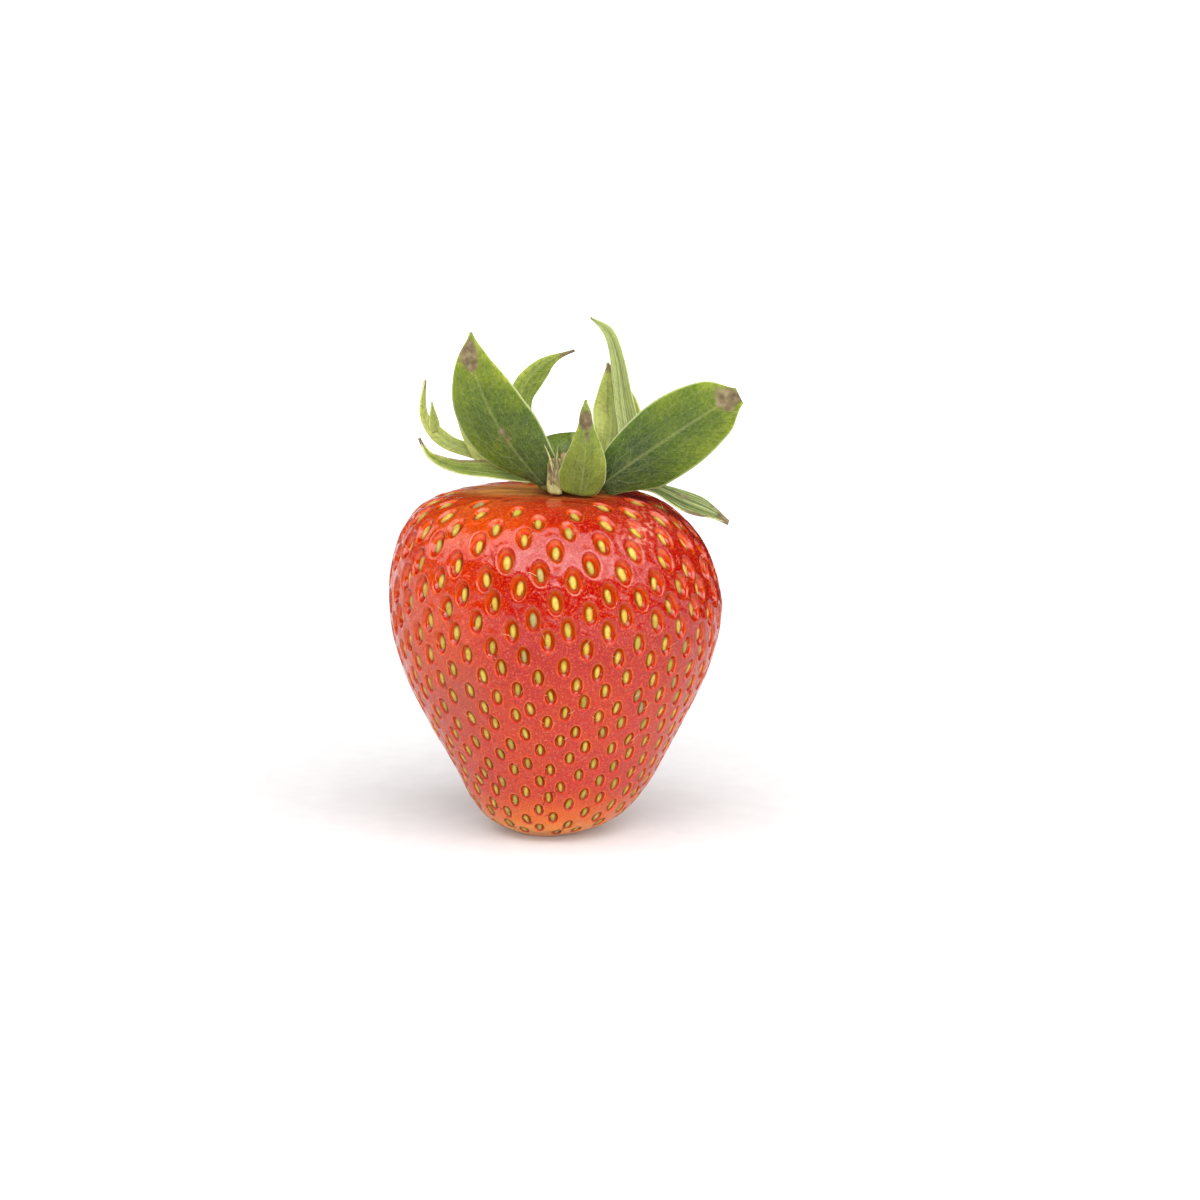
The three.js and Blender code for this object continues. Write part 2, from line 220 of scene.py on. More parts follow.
# %% Seed places
SEED_AREA = [(0, 5.2), (8, 6.2), (18, 7.3), (26, 9.2), (33, 11.0), (41, 13.0)]
SEED_JITTER = 0.35
FIRST_SEED_RADIUS = 5.6
NECK_RADIUS = 10.4
GOLDEN_ANGLE = math.pi * (3 - math.sqrt(5))
RANDOM_SEED = 20417


def seeded_random(seed):
    """Repeatable random numbers from 0 to 1, the same ones that placed the solid seeds."""
    word = 0xFFFFFFFF
    state = seed
    while True:
        state = (state + 0x6D2B79F5) & word
        mixed = ((state ^ (state >> 15)) * (1 | state)) & word
        mixed = ((mixed + (mixed ^ (mixed >> 7)) * (61 | mixed)) & word) ^ mixed
        yield (mixed ^ (mixed >> 14)) / 2**32


upper_half = height_rows > TOP_HEIGHT / 2
bears_seeds = np.where(upper_half, radius_rows > NECK_RADIUS, radius_rows > FIRST_SEED_RADIUS)
band_areas = math.pi * (1 + DEPTH_RATIO) * mid_radius * steps
seeds_in_band = bears_seeds[1:] * band_areas / look_up(SEED_AREA, height_rows[1:])
seed_rows = np.concatenate([[0], np.cumsum(seeds_in_band)])
SEED_COUNT = int(seed_rows[-1])

draw = seeded_random(RANDOM_SEED)
jitters = np.array([[2 * next(draw) - 1, 2 * next(draw) - 1] for _ in range(SEED_COUNT)])
jitters = jitters * SEED_JITTER
spiral_arc = np.interp(np.arange(SEED_COUNT) + 0.5, seed_rows, arc_rows)
spiral_radius = np.interp(spiral_arc, arc_rows, radius_rows)
seed_arc = spiral_arc + jitters[:, 0]
seed_turn = np.arange(SEED_COUNT) * GOLDEN_ANGLE + jitters[:, 1] / spiral_radius
seed_at = skin_point(seed_arc, seed_turn)
seed_up, seed_round, seed_out = skin_axes(seed_arc, seed_turn)
print(SEED_COUNT, "seeds")

# %% [markdown]
# ## The flesh
# A ball of latitude and longitude lines pinches at its poles. A cube blown up into a ball
# keeps its squares nearly equal instead, so it is the better start for an all-over relief.
# Each point of that ball is then moved to its own place on the fruit.

# %% Even ball of points
FLESH_STEPS = 126
POLE = 0.99999  # a point of the ball beyond this height lies at its pole


def even_ball(steps):
    """Unit vectors and square faces of a cube of steps by steps squares a side, made round."""
    index = np.arange(steps + 1)
    a, b = np.meshgrid(index, index, indexing="ij")
    corners, squares = [], []
    for axis in range(3):
        for side in (0, steps):
            grid = np.empty((steps + 1, steps + 1, 3), int)
            grid[..., axis] = side
            grid[..., (axis + 1) % 3] = a
            grid[..., (axis + 2) % 3] = b
            at = (a * (steps + 1) + b + len(corners) * (steps + 1) ** 2)[:-1, :-1].ravel()
            square = np.stack([at, at + steps + 1, at + steps + 2, at + 1], axis=1)
            squares.append(square if side else square[:, ::-1])
            corners.append(grid.reshape(-1, 3))
    merged, same = np.unique(np.vstack(corners), axis=0, return_inverse=True)
    cube = np.tan(math.pi / 4 * (2 * merged / steps - 1))
    return unit(cube), same.ravel()[np.vstack(squares)]


ball, flesh_faces = even_ball(FLESH_STEPS)
flesh_latitude = np.arctanh(np.clip(ball[:, 2], -POLE, POLE))
flesh_turn = np.arctan2(ball[:, 1], ball[:, 0])
flesh_arc = np.interp(flesh_latitude, latitude_rows, arc_rows)
flesh_base = skin_point(flesh_arc, flesh_turn)
flesh_base[ball[:, 2] < -POLE] = 0
print(len(flesh_base), "skin points,", len(flesh_faces), "squares")

# %% [markdown]
# ## Pits
# The flesh swells up round every seed, so each seed lies in a pit. Near the shoulder the
# flesh has swollen most: the pits there are wide and deep with a plump rim, and reach above
# the seed. Near the tip they are tight rings. A formula of the distance from the seed, cut
# to the seed's own length and width, gives the depth at every skin point near it.

# %% Pit relief
PIT_HALF_LENGTH = [(0, 1.05), (10, 1.1), (20, 1.25), (28, 1.6), (36, 1.8), (41, 1.6)]
PIT_HALF_WIDTH = [(0, 0.68), (10, 0.70), (20, 0.80), (28, 1.02), (36, 1.16), (41, 1.10)]
PIT_DEPTH = [(0, 0.30), (12, 0.32), (22, 0.42), (28, 0.68), (35, 0.80), (38, 0.42), (41, 0.20)]
PIT_RISE = 0.16  # how far a pit's middle lies above its seed, as a share of its length
RIM_SWELL = 0.14  # plump rim, as a share of the depth
SEED_HALF_LENGTH = [(0, 0.86), (12, 0.88), (20, 0.92), (30, 1.02), (41, 1.02)]
SEED_HALF_WIDTH = [(0, 0.31), (12, 0.33), (20, 0.37), (30, 0.47), (41, 0.49)]
# The dark ring round a seed is painted contact shadow.
RING_ALONG = 0.16  # width of the dark ring round a seed
RING_ACROSS = 0.20
NEAR = 3.4  # mm from a seed; a pit and its rim hardly reach further
FAR = 9.0  # the value of skin that lies in no pit
PIT_VARIETY = 0.12
PIT_FLOOR = 0.30  # places in a pit, where 0 is its middle and 1 its edge
PIT_TOP = 1.05
RIM_PLACE = 1.2
RIM_WIDTH = 0.3
FLAT_FADE = 1.5  # mm beside the flat spot in which the relief grows
AXIS_GAP = 0.2

pit_length = look_up(PIT_HALF_LENGTH, seed_at[:, 2])
pit_width = look_up(PIT_HALF_WIDTH, seed_at[:, 2])
pit_depth = look_up(PIT_DEPTH, seed_at[:, 2])
seed_length = look_up(SEED_HALF_LENGTH, seed_at[:, 2])
seed_width = look_up(SEED_HALF_WIDTH, seed_at[:, 2])
pit_size = 1 + PIT_VARIETY * np.sin(np.arange(SEED_COUNT) * 2.4)
pit_reach = np.full(len(flesh_base), FAR)
pit_drop = np.zeros(len(flesh_base))
pit_place = np.full((len(flesh_base), 2), FAR)
seed_place = np.full((len(flesh_base), 2), FAR)
for k in range(SEED_COUNT):
    offset = flesh_base - seed_at[k]
    near = np.flatnonzero((np.abs(offset) < NEAR).all(axis=1))
    along = offset[near] @ seed_up[k]
    across = offset[near] @ seed_round[k]
    length, width = pit_length[k] * pit_size[k], pit_width[k] * pit_size[k]
    place = np.stack([along / length - PIT_RISE, across / width], axis=1)
    reach = np.hypot(place[:, 0], place[:, 1])
    closer = reach < pit_reach[near]
    pit_reach[near[closer]] = reach[closer]
    pit_drop[near[closer]] = pit_depth[k]
    pit_place[near[closer]] = place[closer]
    ring_size = (seed_length[k] + RING_ALONG, seed_width[k] + RING_ACROSS)
    seed_place[near[closer]] = (np.stack([along, across], axis=1) / ring_size)[closer]

hollow = 1 - smooth_step(PIT_FLOOR, PIT_TOP, pit_reach)
rim = np.exp(-(((pit_reach - RIM_PLACE) / RIM_WIDTH) ** 2))
off_axis = np.clip(flesh_arc, AXIS_GAP, arc_rows[-1] - AXIS_GAP)
_, _, flesh_out = skin_axes(off_axis, flesh_turn)
relief = pit_drop * (RIM_SWELL * rim - hollow)
settled = smooth_step(FLAT_RADIUS, FLAT_RADIUS + FLAT_FADE, flesh_arc)
flesh_points = flesh_base + flesh_out * (relief * settled)[:, None]
flesh_points[:, 2] = np.maximum(flesh_points[:, 2], 0)
flesh = add_piece("flesh", flesh_points * MM, flesh_faces)
print("pits go down to", round(float(relief.min()), 2), "mm")

# %% [markdown]
# ## Numbers that the skin's colour needs
# A fruit doesn't ripen evenly. The side that saw the sun is crimson, the other is orange, the
# tip stays yellowish, and the bare neck under the sepals is tan. A grey bruise and a pale
# scuff lie on the front. Each of these is a number from 0 to 1 at every skin point, worked
# out from the place on the fruit.

# %% Skin values
CALYX_CENTRE = np.array([2.6, 1.6, 40.9])
SUNNY_EDGE = (-15, 4)  # mm to the right, where the crimson starts and is full
SUNNY_SLANT = 0.35
SUNNY_MIDDLE = 24
SHOULDER_PALE = 12
SHOULDER_HEIGHTS = (35, 39)
TIP_HEIGHTS = (0.5, 8.0)
LOW_HEIGHTS = (14, 29)
NECK_SHIFT = (-7.2, 0.4)  # middle of the tan patch from the calyx
NECK_SQUASH = 1.35
NECK_FADE = (1.8, 7.8)
NECK_HEIGHTS = (37, 40)
COLLAR_SHARE = 0.45  # a thinner tan all round the hub
COLLAR_FADE = (3.6, 7.4)
COLLAR_HEIGHTS = (38, 40)
BRUISE_PLACE = (-9.6, 19.6)  # mm to the right and up
BRUISE_SIZE = (2.6, 4.2)
SCUFF_PLACE = (11.0, 37.6)
SCUFF_SIZE = (2.6, 1.8)
PIT_COLOUR_EDGE = (0.95, 1.2)

flesh_x, flesh_y, flesh_z = flesh_points.T


def front_spot(place, size):
    """1 at a place on the front, fading to 0 over this size."""
    right, up = (flesh_x - place[0]) / size[0], (flesh_z - place[1]) / size[1]
    return np.exp(-(right**2) - up**2) * (flesh_y < 0)


shoulder = SHOULDER_PALE * smooth_step(*SHOULDER_HEIGHTS, flesh_z)
sunny = flesh_x + SUNNY_SLANT * (flesh_z - SUNNY_MIDDLE) - shoulder
crimson = smooth_step(*SUNNY_EDGE, sunny)
tip_pale = 1 - smooth_step(*TIP_HEIGHTS, flesh_z)
from_calyx_x, from_calyx_y = flesh_x - CALYX_CENTRE[0], flesh_y - CALYX_CENTRE[1]
neck_gap = np.hypot(from_calyx_x - NECK_SHIFT[0], (from_calyx_y - NECK_SHIFT[1]) * NECK_SQUASH)
neck = (1 - smooth_step(*NECK_FADE, neck_gap)) * smooth_step(*NECK_HEIGHTS, flesh_z)
collar = 1 - smooth_step(*COLLAR_FADE, np.hypot(from_calyx_x, from_calyx_y))
collar = COLLAR_SHARE * collar * smooth_step(*COLLAR_HEIGHTS, flesh_z)
neck = np.maximum(neck, collar)
add_values(flesh, "crimson", crimson)
add_values(flesh, "tip_pale", tip_pale)
add_values(flesh, "low", 1 - smooth_step(*LOW_HEIGHTS, flesh_z))
add_values(flesh, "neck", neck)
add_values(flesh, "bruise", front_spot(BRUISE_PLACE, BRUISE_SIZE))
add_values(flesh, "scuff", front_spot(SCUFF_PLACE, SCUFF_SIZE))
add_values(flesh, "pit_depth", pit_drop)
add_values(flesh, "near_seed", 1 - smooth_step(*PIT_COLOUR_EDGE, pit_reach))
add_values(flesh, "pit_up", pit_place[:, 0])
add_values(flesh, "pit_side", pit_place[:, 1])
add_values(flesh, "seed_up", seed_place[:, 0])
add_values(flesh, "seed_side", seed_place[:, 1])
print("neck covers", round(float((neck > 0.5).mean()) * 100, 1), "% of the skin")

# %% [markdown]
# ## The seeds
# What we call a seed is a tiny dry fruit, an achene: a flattened drop, a little sharper at
# its lower end. One drop is shaped once as rings round its length, then placed by each
# seed's own three directions. All of them are joined into one piece, which loads quickly.

# %% Seeds
SEED_RINGS = 9
SEED_SIDES = 10
SEED_HEIGHT = 0.46
SEED_SINK = 0.85  # share of the pit's depth
SEED_LIFT = 0.03
SEED_TAPER = 0.2
SEED_SIZES = (0.90, 1.06)
SEED_WIDTHS = (0.9, 1.1)
SEED_TWIST = 0.12

rng = np.random.default_rng(RANDOM_SEED)


def drop_shape():
    """Points (along, across, out) of one seed of unit size, and its faces."""
    points, faces = [(-1, 0, 0)], []
    for ring in range(1, SEED_RINGS):
        t = -math.cos(math.pi * ring / SEED_RINGS)
        girth = math.sqrt(1 - t * t) * (1 + SEED_TAPER * t)
        for side in range(SEED_SIDES):
            angle = 2 * math.pi * side / SEED_SIDES
            points.append((t, girth * math.cos(angle), girth * math.sin(angle)))
    points.append((1, 0, 0))
    tip = len(points) - 1
    for side in range(SEED_SIDES):
        after = (side + 1) % SEED_SIDES
        faces.append((0, 1 + after, 1 + side))
        for ring in range(SEED_RINGS - 2):
            low, high = 1 + ring * SEED_SIDES, 1 + (ring + 1) * SEED_SIDES
            faces.append((low + side, low + after, high + after, high + side))
        faces.append((tip, tip - SEED_SIDES + side, tip - SEED_SIDES + after))
    return np.array(points, float), faces


def join_parts(parts):
    """One array of points and one list of faces from many."""
    points, faces, shift = [], [], 0
    for part_points, part_faces in parts:
        points.append(part_points)
        faces += [tuple(i + shift for i in face) for face in part_faces]
        shift += len(part_points)
    return np.vstack(points), faces


drop, drop_faces = drop_shape()
seed_parts, seed_tone = [], []
for k in range(SEED_COUNT):
    size = rng.uniform(*SEED_SIZES)
    turn = rng.normal(0, SEED_TWIST)
    up = math.cos(turn) * seed_up[k] + math.sin(turn) * seed_round[k]
    across = np.cross(seed_out[k], up)
    sink = SEED_SINK * pit_depth[k] - SEED_LIFT
    half_width = seed_width[k] * size * rng.uniform(*SEED_WIDTHS)
    shape = drop * (seed_length[k] * size, half_width, SEED_HEIGHT / 2)
    placed = seed_at[k] - sink * seed_out[k] + shape @ np.stack([up, across, seed_out[k]])
    seed_parts.append((placed, drop_faces))
    seed_tone.append(rng.uniform(0, 1))
seed_points, seed_faces = join_parts(seed_parts)
seeds = add_piece("seeds", seed_points * MM, seed_faces)
add_values(seeds, "tone", np.repeat(seed_tone, len(drop)))
add_values(seeds, "end", np.tile(drop[:, 0], SEED_COUNT))
add_values(seeds, "proud", np.tile(drop[:, 2], SEED_COUNT))
print("seeds:", len(seeds.data.polygons), "faces")

# %% [markdown]
# ## Withered styles
# Each seed once had a style, the thread that caught the pollen. Dry ones stay on the fruit
# as hairs, thinner than a tenth of a millimetre. Blender's hair curves would not be kept in
# an exported model, so each hair here is a thin three-sided spike of mesh with a bend.

# %% Styles
STYLE_LENGTH = 1.25
STYLE_RADII = 0.028 * np.array([1, 0.9, 0.8, 0.65, 0.5])
STYLE_CHANCE = 0.85  # share of the seeds that kept theirs
STYLE_LOWEST = 3
STYLE_SPAN = (0.5, 1.3)
STYLE_SWAY = 0.5
THREAD_HELPER = np.array([0.3, 0.5, 0.81])  # any direction that no thread takes


def thread(points, radii, sides=3):
    """Points and faces of a thin spike along a bent line; it ends in one point."""
    points = np.asarray(points, float)
    tangents = unit(np.gradient(points, axis=0))
    first = unit(np.cross(tangents, THREAD_HELPER))
    second = np.cross(tangents, first)
    angles = 2 * math.pi * np.arange(sides) / sides
    rings = [
        p + r * (np.cos(angles)[:, None] * a + np.sin(angles)[:, None] * b)
        for p, r, a, b in zip(points[:-1], radii, first, second)
    ]
    last = (len(rings) - 1) * sides
    faces = [tuple(range(sides))[::-1]] + ring_faces(len(rings) - 1, sides, climbing=True)
    faces += [(last + s, last + (s + 1) % sides, last + sides) for s in range(sides)]
    return np.vstack(rings + [points[-1]]), faces


hairs = []
for k in range(SEED_COUNT):
    if rng.uniform() > STYLE_CHANCE or seed_at[k, 2] < STYLE_LOWEST:
        continue
    length = STYLE_LENGTH * rng.uniform(*STYLE_SPAN)
    sway = rng.normal(0, STYLE_SWAY, 2)
    root = seed_at[k] + 0.35 * seed_up[k] * rng.uniform(-1, 1)
    root = root + 0.4 * seed_round[k] * rng.choice([-1, 1])
    along = np.linspace(0, 1, 6)[:, None] * length
    lean = 0.55 * seed_out[k] + (0.5 + sway[0] * 0.5) * seed_up[k] + sway[1] * 0.5 * seed_round[k]
    bend = along**2 * (-0.28 * seed_out[k] + 0.25 * sway[1] * seed_round[k])
    line = root - 0.15 * seed_out[k] + along * lean + bend
    hairs.append(thread(line, STYLE_RADII))
hair_points, hair_faces = join_parts(hairs)
styles = add_piece("styles", hair_points * MM, hair_faces)
print(len(hairs), "styles")

# %% [markdown]
# ## The sepals
# Under its leafy look a sepal is one thin curved blade. Its spine runs from the root to the
# tip, its half width swells and shrinks along the way, and it may be cupped, folded or
# wavy. Building it as a grid over these few numbers keeps near the solid's outline, and
# lets the veins be real ridges that follow the blade.

# %% Sepal builder
BLADE_MID_THICKNESS = 0.34
BLADE_RIM_THICKNESS = 0.12
VEIN_RIDGE = 0.03
THINNEST_HALF = 0.08
EDGE_CROWDING = 0.9  # below 1 the columns stand closer at the edges
WAVES = 3.2 * math.pi
WAVE_SLANT = 1.3
WAVE_EDGE = 1.5
MIDRIB_HEIGHT = 1.6
MIDRIB_WIDTH = 0.07
SIDE_VEIN_HEIGHT = 0.7
SIDE_VEIN_WIDTH = 0.06
SIDE_VEIN_PLACES = (0.36, 0.70)


def even_spine(spine, rows):
    """Points of the spine at equal steps of its length."""
    fine = through(spine, np.linspace(0, 1, 201))
    gone = np.concatenate([[0], np.cumsum(np.linalg.norm(np.diff(fine, axis=0), axis=1))])
    even = np.linspace(0, gone[-1], rows + 1)
    return np.stack([np.interp(even, gone, fine[:, axis]) for axis in range(3)], axis=1)


def blade_grid(spine, left, right, face, cup, rows, columns, fold=0.0, wave=0.0, phase=0.0):
    """Middle surface of a blade, places along and across it, mm from its spine, and its length."""
    middle = even_spine(spine, rows)
    share = np.linspace(0, 1, rows + 1)
    tangent = unit(np.gradient(middle, axis=0))
    root_face, tip_face = (unit(np.array(way, float)) for way in face)
    looks = (1 - share)[:, None] * root_face + share[:, None] * tip_face
    across = unit(np.cross(tangent, looks))
    upper = np.cross(across, tangent)
    widths = np.maximum(through(list(zip(left, right)), share), THINNEST_HALF)
    v = np.linspace(-1, 1, columns + 1)
    v = np.sign(v) * np.abs(v) ** EDGE_CROWDING
    half = np.where(v < 0, widths[:, :1], widths[:, 1:])
    reach_out = v * half
    lift = cup * half * v**2 + fold * half * np.abs(v)
    ripple = np.sin(WAVES * share[:, None] + phase + WAVE_SLANT * v)
    lift = lift + wave * ripple * np.abs(v) ** WAVE_EDGE
    sheet = middle[:, None] + across[:, None] * reach_out[..., None]
    sheet = sheet + upper[:, None] * lift[..., None]
    length = np.linalg.norm(np.diff(middle, axis=0), axis=1).sum()
    along = np.broadcast_to(share[:, None], lift.shape)
    return sheet, along, np.broadcast_to(v, lift.shape), reach_out, length


def sheet_normals(sheet):
    down_rows = np.gradient(sheet, axis=0)
    over_columns = np.gradient(sheet, axis=1)
    return unit(np.cross(over_columns, down_rows))


def vein_height(along, across):
    """Ridges: a strong midrib and two pairs of side veins that meet at the tip."""
    ridge = MIDRIB_HEIGHT * np.exp(-((across / MIDRIB_WIDTH) ** 2))
    for place in SIDE_VEIN_PLACES:
        off_vein = (np.abs(across) - place) / SIDE_VEIN_WIDTH
        ridge = ridge + SIDE_VEIN_HEIGHT * np.exp(-(off_vein**2))
    return ridge * smooth_step(1.0, 0.75, along)


def blade_solid(sheet, along, across):
    """Points, faces and point values of a thin closed blade on a middle surface."""
    rows, columns = sheet.shape[0] - 1, sheet.shape[1] - 1
    normals = sheet_normals(sheet)
    thicker = BLADE_MID_THICKNESS - BLADE_RIM_THICKNESS
    thick = BLADE_RIM_THICKNESS + thicker * (1 - across**4)
    veins = vein_height(along, across) * VEIN_RIDGE
    upper = sheet + normals * (thick / 2 - 0.5 * veins)[..., None]
    lower = sheet - normals * (thick / 2 + veins)[..., None]
    wide = columns + 1
    shift = (rows + 1) * wide
    faces = []
    for i in range(rows):
        for j in range(columns):
            a = i * wide + j
            faces.append((a, a + 1, a + wide + 1, a + wide))
            faces.append((shift + a, shift + a + wide, shift + a + wide + 1, shift + a + 1))
    edge = list(range(columns)) + [i * wide + columns for i in range(rows)]
    edge += [rows * wide + j for j in range(columns, 0, -1)] + [i * wide for i in range(rows, 0, -1)]
    for here, there in zip(edge, edge[1:] + edge[:1]):
        faces.append((here, shift + here, shift + there, there))
    points = np.vstack([upper.reshape(-1, 3), lower.reshape(-1, 3)])
    values = {
        "along": np.tile(along.ravel(), 2),
        "across": np.tile(across.ravel(), 2),
    }
    return points, faces, values


print("a blade is", BLADE_MID_THICKNESS, "mm thick in its middle, without the veins")

# %% [markdown]
# Sepals grow out of the hub, so a blade can't just stop beside it. Each one is carried on
# from its first row of points to a narrower row inside the hub. The rows between them follow
# a cubic curve that leaves the hub flat and arrives along the blade, so no seam shows.

# %% Sepal roots
ROOT_ROWS = 7
ROOT_START = 2.9  # mm from the hub's middle, under its surface
ROOT_HEIGHT = 41.95
ROOT_NARROWING = 0.5


def grow_root(sheet, along, across, reach_out, length):
    """The same blade with rows of points added that join it to the hub."""
    first = sheet[0]
    middle = first[first.shape[0] // 2]
    way = unit(middle[:2] - CALYX_CENTRE[:2])
    beside = np.array([-way[1], way[0]])
    offset = ((first - middle)[:, :2] @ beside) * ROOT_NARROWING
    inside = np.empty_like(first)
    inside[:, :2] = CALYX_CENTRE[:2] + ROOT_START * way + offset[:, None] * beside
    inside[:, 2] = ROOT_HEIGHT
    gap = np.linalg.norm(middle - inside[first.shape[0] // 2])
    leave = np.append(way, 0) * gap
    arrive = unit(sheet[1] - sheet[0]) * gap
    t = np.linspace(0, 1, ROOT_ROWS + 1)[:-1, None, None]
    blend = 3 * t**2 - 2 * t**3
    added = (1 - blend) * inside + blend * first
    added = added + (t**3 - 2 * t**2 + t) * leave + (t**3 - t**2) * arrive
    share = t[:, 0, :]
    width = ROOT_NARROWING + (1 - ROOT_NARROWING) * share
    return (np.vstack([added, sheet]),
            np.vstack([(share - 1) * gap / length + 0 * across[:1], along]),
            np.vstack([across[:1] + 0 * share, across]),
            np.vstack([width * reach_out[:1], reach_out]))


print("each root starts", ROOT_START, "mm from the middle of the hub")

# %% [markdown]
# ## One row of numbers per sepal
# Strawberry sepals come in two rings: broad ones, and slim bracts between them. Each row
# below has the facing and cup of its solid, keeps within a millimetre of the solid's spine,
# and gives the half widths finer, left and right apart. The other numbers are for the looks:
# how folded and wavy it is, how yellow the green is at the root and at the tip, how pale, how
# strong its midrib and its stripes are, and where it has dried, as spots of (along, half
# length, across, half width, strength). The forked one gets two small side points.

